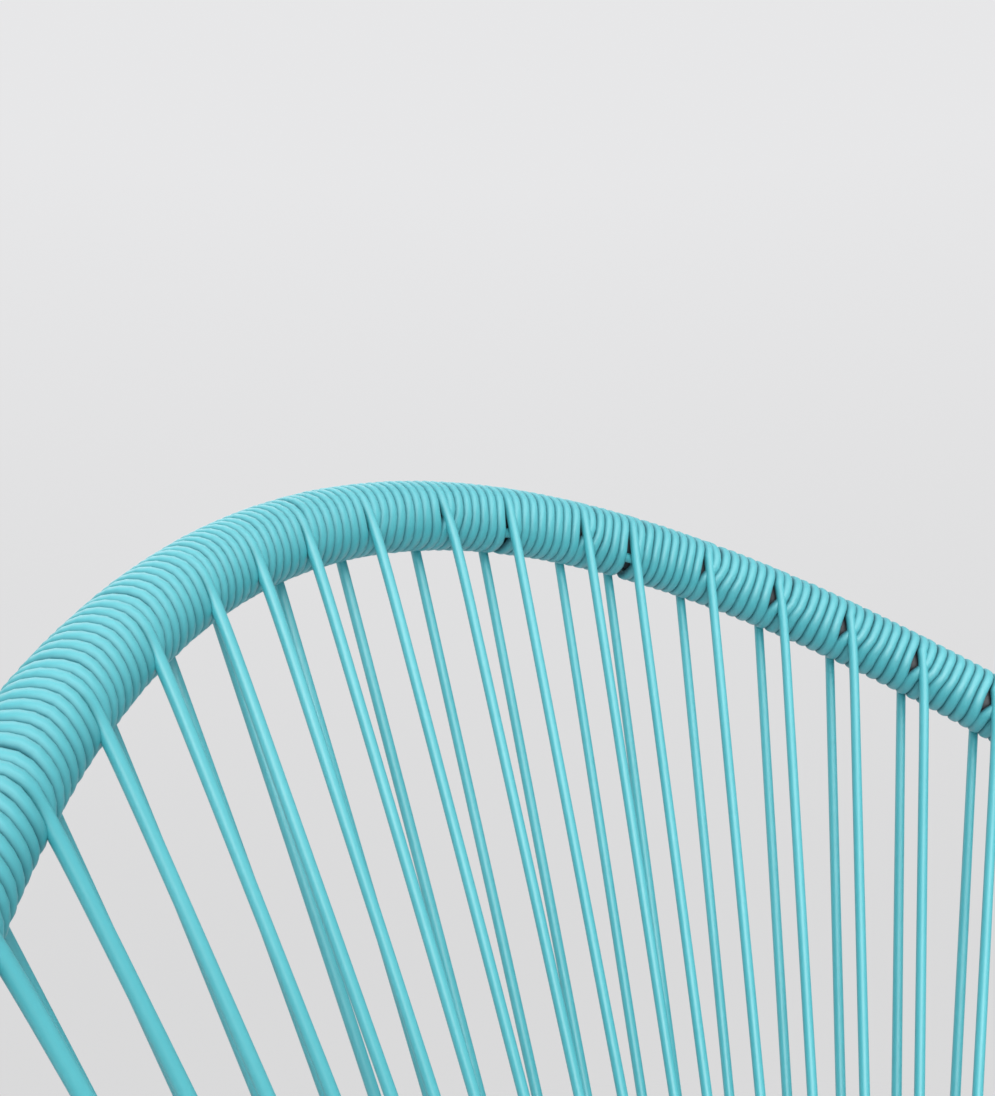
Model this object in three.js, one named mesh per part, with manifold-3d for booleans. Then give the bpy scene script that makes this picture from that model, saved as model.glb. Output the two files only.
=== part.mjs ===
// Acapulco chair: an egg-shaped steel rim and a small inner ring, wound and strung with PVC cord,
// carried by two bent leg hoops. Millimetres, +Z up, the front of the chair faces -Y,
// the origin lies on the floor in the middle of the feet.

import * as THREE from 'three';
import { mergeVertices } from 'three/addons/utils/BufferGeometryUtils.js';
import Module from 'manifold-3d';

const wasm = await Module();
wasm.setup();

// Driving dimensions. Lengths are in millimetres, angles in degrees.

// Rim tube, seen from the front as an egg and from the side as two straight runs with a bend
const rimTubeDiameter = 22;
const rimHalfWidth = 340;
const rimEggShare = 0.084;
const rimSideLength = 890;
const rimBackRun = 330;
const rimBendRun = 390;
const rimBackAngle = 39.1;
const rimSeatAngle = 17;
const rimTopBack = 380.6;
const rimTopHeight = 885;

// Inner ring, a tilted oval where the seat meets the back
const ringTubeDiameter = 16;
const ringHalfWidth = 73.5;
const ringHalfLength = 115;
const ringTilt = 42;
const ringCentreBack = 157.6;
const ringCentreHeight = 312.5;

// Cord: round PVC, wound on the rim and strung to the ring and back at every bay
const cordDiameter = 4.5;
const cordPitch = 5.3;
const cordClearance = 0.5;
const cordVeeRoom = 0.5;
const bayTurns = 8;
const windingBays = 3;
const tailBendRadius = 3;
const spanCount = 14;
const veesPerSpan = 4;
const spanEdge = 4;
const sleeveWall = 4.6;
const veeLeadIn = 2;

// Leg hoops: one bent tube each, from foot to knee, under the ring and back to the other foot
const hoopTubeDiameter = 20;
const hoopTubeWall = 1.5;
const hoopSocketDepth = 40;
const kneeBendRadius = 24;
const cradleBendRadius = 36;
const cradleDrop = 50;
const frontFootInset = 55;
const frontFootRecess = 75.1;
const rearFootInset = 65;
const rearFootRecess = 30.6;
const frontKneeBay = 20;
const rearKneeBay = 12;

// Foot caps
const capWall = 3;
const capHeight = 30;
const capSocketFloor = 12;
const capChamfer = 1.2;

// Knee joint: a tab welded to the rim, a spacer, a bolt, a washer and a nut
const kneeDrop = 46;
const tabShift = 4;
const tabThickness = 4;
const tabWidth = 17;
const spacerLength = 4;
const spacerDiameter = 15;
const boltDiameter = 8;
const boltHeadDiameter = 14;
const boltHeadHeight = 5;
const boltEndRun = 2;
const washerDiameter = 17;
const washerThickness = 1.6;
const nutAcrossFlats = 13;
const nutHeight = 6.5;
const nutSides = 6;

// Gussets between the ring and the hoops
const gussetThickness = 2.5;
const gussetWidth = 8;
const gussetInset = 4;

// Clearances
const seatGap = 0.3;
const boltClearance = 0.3;
const cutOverrun = 5;

// Facets
const rimSides = 8;
const ringSides = 8;
const sleeveSides = 8;
const cordSides = 6;
const strandSides = 5;
const hoopSides = 8;
const roundSides = 10;
const arcSteps = 4;
const loopSteps = 12;
const spanSteps = 4;
const rimTopSteps = 12;
const ringSteps = 36;
const curveDivisions = 2000;
const windingHookSteps = 6;
const spanHookSteps = 3;
const tailSteps = 3;
const kneeSteps = 6;
const cradleSteps = 3;
const domeSteps = 3;
const gapSampleStep = 1.5;
const gapOwnDiameters = 3;
const settlingPasses = 6;

// Sizes that follow from the driving dimensions
const rimRadius = rimTubeDiameter / 2;
const ringRadius = ringTubeDiameter / 2;
const cordRadius = cordDiameter / 2;
const hoopRadius = hoopTubeDiameter / 2;
const boltRadius = boltDiameter / 2;
const boltHoleRadius = boltRadius + boltClearance;
const rimWrapRadius = rimRadius + cordClearance + cordRadius;
const ringWrapRadius = ringRadius + cordClearance + cordRadius;

// Materials, one for each kind of surface
const cordMaterial = new THREE.MeshStandardMaterial({ color: '#62bac3', roughness: 0.35, metalness: 0 });
const steelMaterial = new THREE.MeshStandardMaterial({ color: '#1d2023', roughness: 0.5, metalness: 0.1 });
const zincMaterial = new THREE.MeshStandardMaterial({ color: '#aeb2b5', roughness: 0.35, metalness: 1 });
const plasticMaterial = new THREE.MeshStandardMaterial({ color: '#17181a', roughness: 0.6, metalness: 0 });

const chair = new THREE.Group();

function addPiece(name, geometry, material) {
  const mesh = new THREE.Mesh(geometry, material);
  mesh.name = name;
  chair.add(mesh);
}

// Solids and booleans

function weldedGeometry(geometry) {
  const bare = geometry.clone();
  bare.deleteAttribute('normal');
  bare.deleteAttribute('uv');
  return mergeVertices(bare);
}

function solidOf(geometry) {
  const welded = weldedGeometry(geometry);
  return new wasm.Manifold(new wasm.Mesh({
    numProp: 3,
    vertProperties: new Float32Array(welded.attributes.position.array),
    triVerts: new Uint32Array(welded.index.array),
  }));
}

function geometryOf(solid) {
  const mesh = solid.getMesh();
  const geometry = new THREE.BufferGeometry();
  geometry.setAttribute('position', new THREE.BufferAttribute(mesh.vertProperties, 3));
  geometry.setIndex(new THREE.BufferAttribute(mesh.triVerts, 1));
  return geometry;
}

// Curves of the frame

class RimCurve extends THREE.Curve {
  getPoint(share, target = new THREE.Vector3()) {
    const turn = 2 * Math.PI * share;
    const run = rimSideLength * (1 - Math.cos(turn)) / 2;
    const side = rimHalfWidth * Math.sin(turn) * (1 - rimEggShare * Math.cos(turn));
    const fall = rimFall(run);
    return target.set(side, rimTopBack - fall.forward, rimTopHeight - fall.down);
  }
}

// How far the side view has come forward and down after a run from the top
function rimFall(run) {
  const back = THREE.MathUtils.degToRad(rimBackAngle);
  const seat = THREE.MathUtils.degToRad(rimSeatAngle);
  const bendRadius = rimBendRun / (back - seat);
  const straight = Math.min(run, rimBackRun);
  const bend = THREE.MathUtils.clamp(run - rimBackRun, 0, rimBendRun);
  const last = Math.max(run - rimBackRun - rimBendRun, 0);
  const angle = back - bend / bendRadius;
  const bendForward = bendRadius * (Math.sin(back) - Math.sin(angle));
  const bendDown = bendRadius * (Math.cos(angle) - Math.cos(back));
  return {
    forward: straight * Math.cos(back) + bendForward + last * Math.cos(seat),
    down: straight * Math.sin(back) + bendDown + last * Math.sin(seat),
  };
}

class RingCurve extends THREE.Curve {
  getPoint(share, target = new THREE.Vector3()) {
    const turn = 2 * Math.PI * share;
    const tilt = THREE.MathUtils.degToRad(ringTilt);
    const along = ringHalfLength * Math.cos(turn);
    return target.set(
      ringHalfWidth * Math.sin(turn),
      ringCentreBack + along * Math.cos(tilt),
      ringCentreHeight + along * Math.sin(tilt),
    );
  }
}

const rimCurve = new RimCurve();
const ringCurve = new RingCurve();
rimCurve.arcLengthDivisions = curveDivisions;
ringCurve.arcLengthDivisions = curveDivisions;
const rimLength = rimCurve.getLength();

// A place along the rim is its distance from the top middle, positive towards +X.
// At each place the cord runs down from the rim to the same share of the ring.
// A frame holds the tube's centre, its tangent, the way down to the ring and the sitter's side.
function frameAt(place, curve) {
  const share = THREE.MathUtils.euclideanModulo(place / rimLength, 1);
  const centre = curve.getPointAt(share);
  const tangent = curve.getTangentAt(share);
  const down = ringCurve.getPointAt(share).sub(rimCurve.getPointAt(share));
  down.addScaledVector(tangent, -down.dot(tangent)).normalize();
  const front = down.clone().cross(tangent);
  return { centre, tangent, down, front };
}

function mirrored(vector) {
  return new THREE.Vector3(-vector.x, vector.y, vector.z);
}

function mirroredFrame(frame) {
  return {
    centre: mirrored(frame.centre),
    tangent: mirrored(frame.tangent),
    down: mirrored(frame.down),
    front: mirrored(frame.front),
  };
}

// The point at an angle round the tube: 0 is the sitter's side, a quarter turn faces the ring
function wrapPoint(frame, angle, radius) {
  return frame.centre.clone()
    .addScaledVector(frame.front, radius * Math.cos(angle))
    .addScaledVector(frame.down, radius * Math.sin(angle));
}

// Tubes through chosen stations

class StationCurve extends THREE.Curve {
  constructor(points, { closed = false, tangents = null } = {}) {
    super();
    this.points = points;
    this.closed = closed;
    this.tangents = tangents;
  }

  indexAt(share) {
    const count = this.points.length;
    return this.closed ? Math.round(share * count) % count : Math.round(share * (count - 1));
  }

  getPoint(share, target = new THREE.Vector3()) {
    return target.copy(this.points[this.indexAt(share)]);
  }

  getPointAt(share, target) {
    return this.getPoint(share, target);
  }

  getTangent(share, target = new THREE.Vector3()) {
    const count = this.points.length;
    const index = this.indexAt(share);
    if (this.tangents) return target.copy(this.tangents[index]);
    const before = this.closed ? (index + count - 1) % count : Math.max(index - 1, 0);
    const after = this.closed ? (index + 1) % count : Math.min(index + 1, count - 1);
    const arriving = this.points[index].clone().sub(this.points[before]).normalize();
    const leaving = this.points[after].clone().sub(this.points[index]).normalize();
    return target.copy(arriving).add(leaving).normalize();
  }

  getTangentAt(share, target) {
    return this.getTangent(share, target);
  }
}

function polygonShape(radius, sides) {
  const corners = [];
  for (let index = 0; index < sides; index += 1) {
    const angle = 2 * Math.PI * index / sides;
    corners.push(new THREE.Vector2(radius * Math.cos(angle), radius * Math.sin(angle)));
  }
  return new THREE.Shape(corners);
}

function tubeThrough(points, radius, sides, tangents = null) {
  return new THREE.ExtrudeGeometry(polygonShape(radius, sides), {
    steps: points.length - 1,
    extrudePath: new StationCurve(points, { tangents }),
  });
}

function closedTubeThrough(points, radius, sides) {
  const path = new StationCurve(points, { closed: true });
  return weldedGeometry(new THREE.TubeGeometry(path, points.length, radius, sides, true));
}

// A polygon whose flats, not its corners, lie at the radius
function outsideRadius(radius, sides) {
  return radius / Math.cos(Math.PI / sides);
}

// The vee that replaces the underside of one turn: down the sitter's side to the ring,
// round its inner side and back up to the rear of the rim, half a pitch further on
function veeRingPoints(place, steps) {
  const points = [];
  const step = Math.PI / steps;
  for (let index = 0; index < steps; index += 1) {
    const angle = (index + 1 / 2) * step;
    const frame = frameAt(place + cordPitch / 2 * angle / Math.PI, ringCurve);
    points.push(wrapPoint(frame, angle, ringWrapRadius / Math.cos(step / 2)));
  }
  return points;
}

// The photographed stretch of winding at the top of the back, as one unbroken cord

const windingTurns = bayTurns * windingBays;
const turnPlaces = windingTurnPlaces();
const windingHalfLength = (turnPlaces[windingTurns] + cordPitch / 2) / 2;
const tailRun = tailBendRadius + cordDiameter;
const spanStart = windingHalfLength + tailRun + seatGap;

function isVeeTurn(turn) {
  return turn > 0 && turn < windingTurns && turn % bayTurns === 0;
}

// Where each turn crosses the sitter's side, with a little more room on both sides of a vee
function windingTurnPlaces() {
  const places = [0];
  for (let turn = 1; turn <= windingTurns + 1; turn += 1) {
    const room = isVeeTurn(turn) || isVeeTurn(turn - 1) ? cordVeeRoom : 0;
    places.push(places[turn - 1] + cordPitch + room);
  }
  return places;
}

function windingPlace(turns) {
  const whole = Math.min(Math.floor(turns), windingTurns);
  const next = turnPlaces[whole + 1];
  return turnPlaces[whole] + (next - turnPlaces[whole]) * (turns - whole) - windingHalfLength;
}

function windingPoint(place, angle) {
  return wrapPoint(frameAt(place, rimCurve), angle, rimWrapRadius);
}

// A tail turns from round the rim to along it, and ends straight and square to the next span
function tailPoints(place, angle, direction) {
  const bendAngle = direction * tailBendRadius / rimWrapRadius;
  const points = [windingPoint(place + direction * tailRun, angle + bendAngle)];
  for (let index = 0; index < tailSteps; index += 1) {
    const bend = Math.PI / 2 * (1 - index / tailSteps);
    const along = direction * tailBendRadius * (1 - Math.cos(bend));
    points.push(windingPoint(place + along, angle + bendAngle * Math.sin(bend)));
  }
  return points;
}

function windingPoints() {
  const firstStep = Math.round(loopSteps / 4);
  const lastStep = windingTurns * loopSteps + firstStep;
  const firstTurns = firstStep / loopSteps;
  const lastTurns = lastStep / loopSteps;
  const points = tailPoints(windingPlace(firstTurns), 2 * Math.PI * firstTurns, -1);
  for (let step = firstStep; step <= lastStep; step += 1) {
    const turns = step / loopSteps;
    const turn = Math.floor(turns);
    const onVee = isVeeTurn(turn) && turns > turn && turns < turn + 1 / 2;
    if (!onVee) points.push(windingPoint(windingPlace(turns), 2 * Math.PI * turns));
    if (isVeeTurn(turns)) points.push(...veeRingPoints(windingPlace(turns), windingHookSteps));
  }
  points.push(...tailPoints(windingPlace(lastTurns), 2 * Math.PI * lastTurns, 1).reverse());
  return points;
}

// The least gap between stretches of one cord, measured on points along it
function leastGap(points) {
  const samples = [];
  let length = 0;
  for (let index = 1; index < points.length; index += 1) {
    const run = points[index].distanceTo(points[index - 1]);
    const count = Math.ceil(run / gapSampleStep);
    for (let part = 0; part < count; part += 1) {
      const point = points[index - 1].clone().lerp(points[index], part / count);
      samples.push({ point, at: length + run * part / count });
    }
    length += run;
  }
  const ownRun = gapOwnDiameters * cordDiameter;
  let least = Infinity;
  for (let first = 0; first < samples.length; first += 1) {
    for (let second = first + 1; second < samples.length; second += 1) {
      if (samples[second].at - samples[first].at < ownRun) continue;
      least = Math.min(least, samples[first].point.distanceTo(samples[second].point));
    }
  }
  return { gap: least - cordDiameter, length };
}

function addWinding() {
  const points = windingPoints();
  const measured = leastGap(points);
  console.log(`cord_winding_top: ${windingTurns} turns, ${measured.length.toFixed(0)} mm of cord, `
    + `least gap to itself ${measured.gap.toFixed(2)} mm`);
  addPiece('cord_winding_top', tubeThrough(points, cordRadius, cordSides), cordMaterial);
}

// The rest of the cord in spans: a sleeve for its close turns, with its vees whole

const veeCount = spanCount * veesPerSpan;
const veeSpacing = (rimLength - 2 * spanStart - 2 * spanEdge) / (veeCount - 1);

function veePlace(index) {
  return spanStart + spanEdge + index * veeSpacing;
}

function spanBoundary(index) {
  if (index === 0) return spanStart;
  if (index === spanCount) return rimLength - spanStart;
  return (veePlace(index * veesPerSpan - 1) + veePlace(index * veesPerSpan)) / 2;
}

function placesBetween(from, to, steps) {
  const places = [];
  for (let index = 0; index <= steps; index += 1) {
    places.push(from + (to - from) * index / steps);
  }
  return places;
}

function rimPoints(places) {
  return places.map((place) => frameAt(place, rimCurve).centre);
}

// A stretch along the rim whose ends are square to it
function rimStretch(places, radius) {
  const tangents = places.map((place) => frameAt(place, rimCurve).tangent);
  return solidOf(tubeThrough(rimPoints(places), radius, sleeveSides, tangents));
}

function veeTube(place) {
  const first = frameAt(place, rimCurve);
  const last = frameAt(place + cordPitch / 2, rimCurve);
  const radius = outsideRadius(rimRadius + seatGap, sleeveSides) + cordRadius;
  const start = wrapPoint(first, 0, radius).addScaledVector(first.down, -veeLeadIn);
  const end = wrapPoint(last, Math.PI, radius).addScaledVector(last.down, -veeLeadIn);
  return solidOf(tubeThrough([start, ...veeRingPoints(place, spanHookSteps), end], cordRadius, strandSides));
}

function addSpan(index) {
  const from = spanBoundary(index) + seatGap / 2;
  const to = spanBoundary(index + 1) - seatGap / 2;
  const places = placesBetween(spanBoundary(index), spanBoundary(index + 1), spanSteps);
  const sleevePlaces = [from, ...places.slice(1, -1), to];
  const borePlaces = [from - cutOverrun, ...places.slice(1, -1), to + cutOverrun];
  const boreRadius = outsideRadius(rimRadius + seatGap, sleeveSides);
  const sleeveRadius = rimRadius + seatGap + sleeveWall;
  let solid = rimStretch(sleevePlaces, sleeveRadius);
  for (let vee = index * veesPerSpan; vee < (index + 1) * veesPerSpan; vee += 1) {
    solid = solid.add(veeTube(veePlace(vee)));
  }
  solid = solid.subtract(rimStretch(borePlaces, boreRadius));
  for (const knee of allKnees) {
    if (knee.rimPlace > from && knee.rimPlace < to) solid = solid.subtract(tabSlot(knee));
  }
  addPiece(`cord_span_${String(index + 1).padStart(2, '0')}`, geometryOf(solid), cordMaterial);
}

// Rim and ring

function addRim() {
  const places = placesBetween(-spanStart, spanStart, rimTopSteps).slice(0, -1);
  for (let index = 0; index < spanCount; index += 1) {
    places.push(...placesBetween(spanBoundary(index), spanBoundary(index + 1), spanSteps).slice(0, -1));
  }
  addPiece('rim_tube', closedTubeThrough(rimPoints(places), rimRadius, rimSides), steelMaterial);
}

function addRing() {
  const places = placesBetween(0, rimLength, ringSteps).slice(0, -1);
  const points = places.map((place) => frameAt(place, ringCurve).centre);
  addPiece('inner_ring', closedTubeThrough(points, ringRadius, ringSides), steelMaterial);
}

// Plates, drawn with the middle of the tube they are welded to at the origin and their far end along +Y

function tabShape() {
  const halfWidth = tabWidth / 2;
  const shape = new THREE.Shape();
  shape.moveTo(halfWidth, 0);
  shape.absarc(0, kneeDrop, halfWidth, 0, Math.PI, false);
  shape.lineTo(-halfWidth, 0);
  shape.closePath();
  const hole = polygonShape(outsideRadius(boltHoleRadius, roundSides), roundSides).getPoints();
  shape.holes.push(new THREE.Path(hole.map((point) => new THREE.Vector2(point.x, point.y + kneeDrop))));
  return shape;
}

function plateGeometry(shape, thickness, frame) {
  const geometry = new THREE.ExtrudeGeometry(shape, {
    depth: thickness,
    steps: 1,
    bevelEnabled: false,
    curveSegments: arcSteps,
  });
  geometry.translate(0, 0, -thickness / 2);
  return geometry.applyMatrix4(plateMatrix(frame));
}

// Local X runs along the cord, local Y away from the sitter
function plateMatrix(frame) {
  const away = frame.front.clone().negate();
  const across = frame.down.clone().cross(away);
  return new THREE.Matrix4().makeBasis(frame.down, away, across).setPosition(frame.centre);
}

function blockGeometry(width, length, thickness, inset, frame) {
  const block = new THREE.BoxGeometry(width, length, thickness);
  block.translate(inset, length / 2, 0);
  return block.applyMatrix4(plateMatrix(frame));
}

function tabSlot(knee) {
  const reach = rimWrapRadius + cordDiameter;
  return solidOf(blockGeometry(tabWidth + 2 * seatGap, reach, tabThickness + 2 * seatGap, 0, knee.frame));
}

// A tab starts at the skin of the rim
function tabGeometry(knee) {
  const places = placesBetween(knee.rimPlace - tabWidth, knee.rimPlace + tabWidth, 2);
  const room = rimStretch(places, outsideRadius(rimRadius + seatGap, sleeveSides));
  return geometryOf(solidOf(plateGeometry(tabShape(), tabThickness, knee.frame)).subtract(room));
}

// A gusset is a short bar from the ring to the middle of the hoop's bend, coped to both
function gussetGeometry(knee, hoopRoom) {
  const bar = blockGeometry(gussetWidth, cradleDrop, gussetThickness, gussetInset, knee.ringFrame);
  const { centre, tangent } = knee.ringFrame;
  const ringRoom = drill(centre, tangent, outsideRadius(ringRadius + seatGap, roundSides), ringHalfLength);
  return geometryOf(solidOf(bar).subtract(ringRoom).subtract(hoopRoom));
}

// Knees: four places where a hoop is bolted to the rim

const boltStack = {
  head: -tabThickness / 2 - seatGap,
  spacer: tabThickness / 2 + seatGap,
  hoop: tabThickness / 2 + seatGap + spacerLength + seatGap + hoopRadius,
};
boltStack.washer = boltStack.hoop + hoopRadius + seatGap;
boltStack.nut = boltStack.washer + washerThickness + seatGap;
boltStack.end = boltStack.nut + nutHeight + boltEndRun;

function kneeOf(name, bay, side, foot) {
  const bayMiddle = (veePlace(bay) + veePlace(bay + 1)) / 2;
  const place = bayMiddle - tabShift;
  const rimFrame = frameAt(place, rimCurve);
  const ringFrame = frameAt(bayMiddle, ringCurve);
  const cradleEnd = ringFrame.centre.clone().addScaledVector(ringFrame.front, -cradleDrop);
  const frame = kneeFrame(rimFrame, foot, cradleEnd);
  const hole = frame.centre.clone().addScaledVector(frame.front, -kneeDrop);
  const centre = hole.clone().addScaledVector(frame.tangent, boltStack.hoop);
  const knee = { name, rimPlace: place, frame, ringFrame, hole, centre, foot, cradleEnd };
  if (side > 0) return knee;
  return {
    name,
    rimPlace: rimLength - place,
    frame: mirroredFrame(frame),
    ringFrame: mirroredFrame(ringFrame),
    hole: mirrored(hole),
    centre: mirrored(centre),
    foot: mirrored(foot),
    cradleEnd: mirrored(cradleEnd),
  };
}

// The bolt stands square to the bend of the hoop, and the tab lies in the plane of that bend
function kneeFrame(rimFrame, foot, cradleEnd) {
  const { centre, down, front } = rimFrame;
  const tangent = rimFrame.tangent.clone();
  for (let pass = 0; pass < settlingPasses; pass += 1) {
    const middle = centre.clone().addScaledVector(front, -kneeDrop).addScaledVector(tangent, boltStack.hoop);
    const leg = foot.clone().sub(middle);
    const arm = cradleEnd.clone().sub(middle);
    tangent.crossVectors(leg, arm).normalize();
    if (tangent.dot(rimFrame.tangent) < 0) tangent.negate();
  }
  const away = front.clone().addScaledVector(tangent, -front.dot(tangent)).normalize();
  return { centre, tangent, front: away, down: tangent.clone().cross(away) };
}

function lathe(profile, sides) {
  return new THREE.LatheGeometry(profile.map(([radius, height]) => new THREE.Vector2(radius, height)), sides);
}

// Turned pieces stand on +Y; along the bolt they lie on the rim's tangent
function placeOnBolt(geometry, knee, height) {
  const turn = new THREE.Quaternion().setFromUnitVectors(new THREE.Vector3(0, 1, 0), knee.frame.tangent);
  const origin = knee.hole.clone().addScaledVector(knee.frame.tangent, height);
  return geometry.applyMatrix4(new THREE.Matrix4().compose(origin, turn, new THREE.Vector3(1, 1, 1)));
}

function boltGeometry() {
  const profile = [];
  for (let index = 0; index <= domeSteps; index += 1) {
    const bend = Math.PI / 2 * index / domeSteps;
    profile.push([boltHeadDiameter / 2 * Math.sin(bend), -boltHeadHeight * Math.cos(bend)]);
  }
  const shankEnd = boltStack.end - boltStack.head;
  profile.push([boltRadius, 0], [boltRadius, shankEnd], [0, shankEnd]);
  return lathe(profile, roundSides);
}

function collarGeometry(outerDiameter, height) {
  return lathe([
    [boltHoleRadius, 0],
    [outerDiameter / 2, 0],
    [outerDiameter / 2, height],
    [boltHoleRadius, height],
    [boltHoleRadius, 0],
  ], roundSides);
}

function nutGeometry() {
  const shape = polygonShape(outsideRadius(nutAcrossFlats / 2, nutSides), nutSides);
  const bore = new THREE.Path();
  bore.absarc(0, 0, boltHoleRadius, 0, 2 * Math.PI, false);
  shape.holes.push(bore);
  const geometry = new THREE.ExtrudeGeometry(shape, {
    depth: nutHeight,
    bevelEnabled: false,
    curveSegments: 2 * arcSteps,
  });
  return geometry.rotateX(-Math.PI / 2);
}

function addKnee(knee) {
  const spacer = collarGeometry(spacerDiameter, spacerLength);
  const washer = collarGeometry(washerDiameter, washerThickness);
  addPiece(`rim_tab_${knee.name}`, tabGeometry(knee), steelMaterial);
  addPiece(`bolt_${knee.name}`, placeOnBolt(boltGeometry(), knee, boltStack.head), zincMaterial);
  addPiece(`spacer_${knee.name}`, placeOnBolt(spacer, knee, boltStack.spacer), plasticMaterial);
  addPiece(`washer_${knee.name}`, placeOnBolt(washer, knee, boltStack.washer), zincMaterial);
  addPiece(`nut_${knee.name}`, placeOnBolt(nutGeometry(), knee, boltStack.nut), zincMaterial);
}

// Leg hoops

// The corner of a bend whose middle passes through a point, for runs that leave it to two others
function bendCorner(middle, first, second, radius) {
  const corner = middle.clone();
  for (let pass = 0; pass < settlingPasses; pass += 1) {
    const toFirst = first.clone().sub(corner).normalize();
    const toSecond = second.clone().sub(corner).normalize();
    const half = toFirst.angleTo(toSecond) / 2;
    const inward = toFirst.add(toSecond).normalize();
    corner.copy(middle).addScaledVector(inward, -radius * (1 / Math.sin(half) - 1));
  }
  return corner;
}

function bendPoints(before, corner, after, radius, steps) {
  const arriving = corner.clone().sub(before).normalize();
  const leaving = after.clone().sub(corner).normalize();
  const turn = arriving.angleTo(leaving);
  const start = corner.clone().addScaledVector(arriving, -radius * Math.tan(turn / 2));
  const inward = leaving.clone().addScaledVector(arriving, -leaving.dot(arriving)).normalize();
  const points = [];
  for (let index = 0; index <= steps; index += 1) {
    const angle = turn * index / steps;
    points.push(start.clone()
      .addScaledVector(arriving, radius * Math.sin(angle))
      .addScaledVector(inward, radius * (1 - Math.cos(angle))));
  }
  return points;
}

function hoopPoints(knee) {
  const { foot, cradleEnd } = knee;
  const cradleCorner = bendCorner(cradleEnd, knee.centre, mirrored(cradleEnd), cradleBendRadius);
  const corner = bendCorner(knee.centre, foot, cradleCorner, kneeBendRadius);
  const legDirection = corner.clone().sub(foot).normalize();
  const socketRise = foot.clone().addScaledVector(legDirection, capSocketFloor + seatGap);
  const half = [
    socketRise,
    ...bendPoints(foot, corner, cradleCorner, kneeBendRadius, kneeSteps),
    ...bendPoints(corner, cradleCorner, mirrored(cradleCorner), cradleBendRadius, cradleSteps),
  ];
  return [...half, ...half.map(mirrored).reverse()];
}

function drill(from, direction, radius, length) {
  const turn = new THREE.Quaternion().setFromUnitVectors(new THREE.Vector3(0, 1, 0), direction);
  const cylinder = new THREE.CylinderGeometry(radius, radius, length, roundSides);
  return solidOf(cylinder.applyMatrix4(new THREE.Matrix4().compose(from, turn, new THREE.Vector3(1, 1, 1))));
}

function addHoop(name, knees) {
  const points = hoopPoints(knees[0]);
  const legDirection = points[1].clone().sub(points[0]).normalize();
  let solid = solidOf(tubeThrough(points, hoopRadius, hoopSides));
  const room = solidOf(tubeThrough(points, outsideRadius(hoopRadius, hoopSides) + seatGap, hoopSides));
  for (const side of [1, -1]) {
    const knee = knees[side > 0 ? 0 : 1];
    const end = side > 0 ? points[0] : mirrored(points[0]);
    const up = side > 0 ? legDirection : mirrored(legDirection);
    const boltRun = hoopTubeDiameter + 2 * cutOverrun;
    solid = solid.subtract(drill(knee.centre, knee.frame.tangent, boltHoleRadius, boltRun));
    solid = solid.subtract(drill(end, up, hoopRadius - hoopTubeWall, 2 * hoopSocketDepth));
    addCap(`foot_cap_${knee.name}`, end, up);
    addPiece(`ring_gusset_${knee.name}`, gussetGeometry(knee, room), steelMaterial);
  }
  addPiece(`${name}_leg_hoop`, geometryOf(solid), steelMaterial);
}

// A foot cap is a cup on the end of the leg, cut level with the floor
function addCap(name, end, up) {
  const inner = outsideRadius(hoopRadius + seatGap, roundSides);
  const outer = inner + capWall;
  const cup = lathe([
    [0, -capSocketFloor - outer],
    [outer, -capSocketFloor - outer],
    [outer, capHeight - capChamfer],
    [outer - capChamfer, capHeight],
    [inner, capHeight],
    [inner, -seatGap],
    [0, -seatGap],
  ], roundSides);
  const turn = new THREE.Quaternion().setFromUnitVectors(new THREE.Vector3(0, 1, 0), up);
  cup.applyMatrix4(new THREE.Matrix4().compose(end, turn, new THREE.Vector3(1, 1, 1)));
  const reach = 2 * (capSocketFloor + outer);
  const floor = new THREE.BoxGeometry(2 * reach, 2 * reach, reach);
  floor.translate(end.x, end.y, -reach / 2);
  addPiece(name, geometryOf(solidOf(cup).subtract(solidOf(floor))), plasticMaterial);
}

// Assembly

const rimFront = rimTopBack - rimFall(rimSideLength).forward;
const frontFoot = new THREE.Vector3(rimHalfWidth - frontFootInset, rimFront + frontFootRecess, 0);
const rearFoot = new THREE.Vector3(rimHalfWidth - rearFootInset, rimTopBack - rearFootRecess, 0);
const frontKnees = [
  kneeOf('front_right', frontKneeBay, 1, frontFoot),
  kneeOf('front_left', frontKneeBay, -1, frontFoot),
];
const rearKnees = [
  kneeOf('rear_right', rearKneeBay, 1, rearFoot),
  kneeOf('rear_left', rearKneeBay, -1, rearFoot),
];
const allKnees = [...frontKnees, ...rearKnees];

addRim();
addRing();
addWinding();
for (let index = 0; index < spanCount; index += 1) {
  addSpan(index);
}
allKnees.forEach(addKnee);
addHoop('front', frontKnees);
addHoop('rear', rearKnees);

export default chair;
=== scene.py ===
"""The looks of the acapulco chair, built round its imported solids.

Everything is in metres in the frame of the solids: +Z up, the front of the chair faces -Y.
"""

import math
from collections import namedtuple

import bmesh
import bpy
import numpy as np
from mathutils import Matrix, Vector


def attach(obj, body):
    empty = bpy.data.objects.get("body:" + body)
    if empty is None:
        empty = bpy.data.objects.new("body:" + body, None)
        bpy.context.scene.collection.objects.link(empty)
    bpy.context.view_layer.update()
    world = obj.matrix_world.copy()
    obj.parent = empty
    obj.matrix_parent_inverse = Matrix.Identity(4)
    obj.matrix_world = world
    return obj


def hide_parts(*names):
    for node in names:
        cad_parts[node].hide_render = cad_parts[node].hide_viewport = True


# Rim tube: an egg in front view, and two straight runs with a bend in side view
RIM_RADIUS = 0.011
RIM_HALF_WIDTH = 0.340
RIM_EGG_SHARE = 0.084
RIM_SIDE_LENGTH = 0.890
RIM_BACK_RUN = 0.330
RIM_BEND_RUN = 0.390
RIM_BACK_ANGLE = math.radians(39.1)
RIM_SEAT_ANGLE = math.radians(17)
RIM_TOP_BACK = 0.3806
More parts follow.
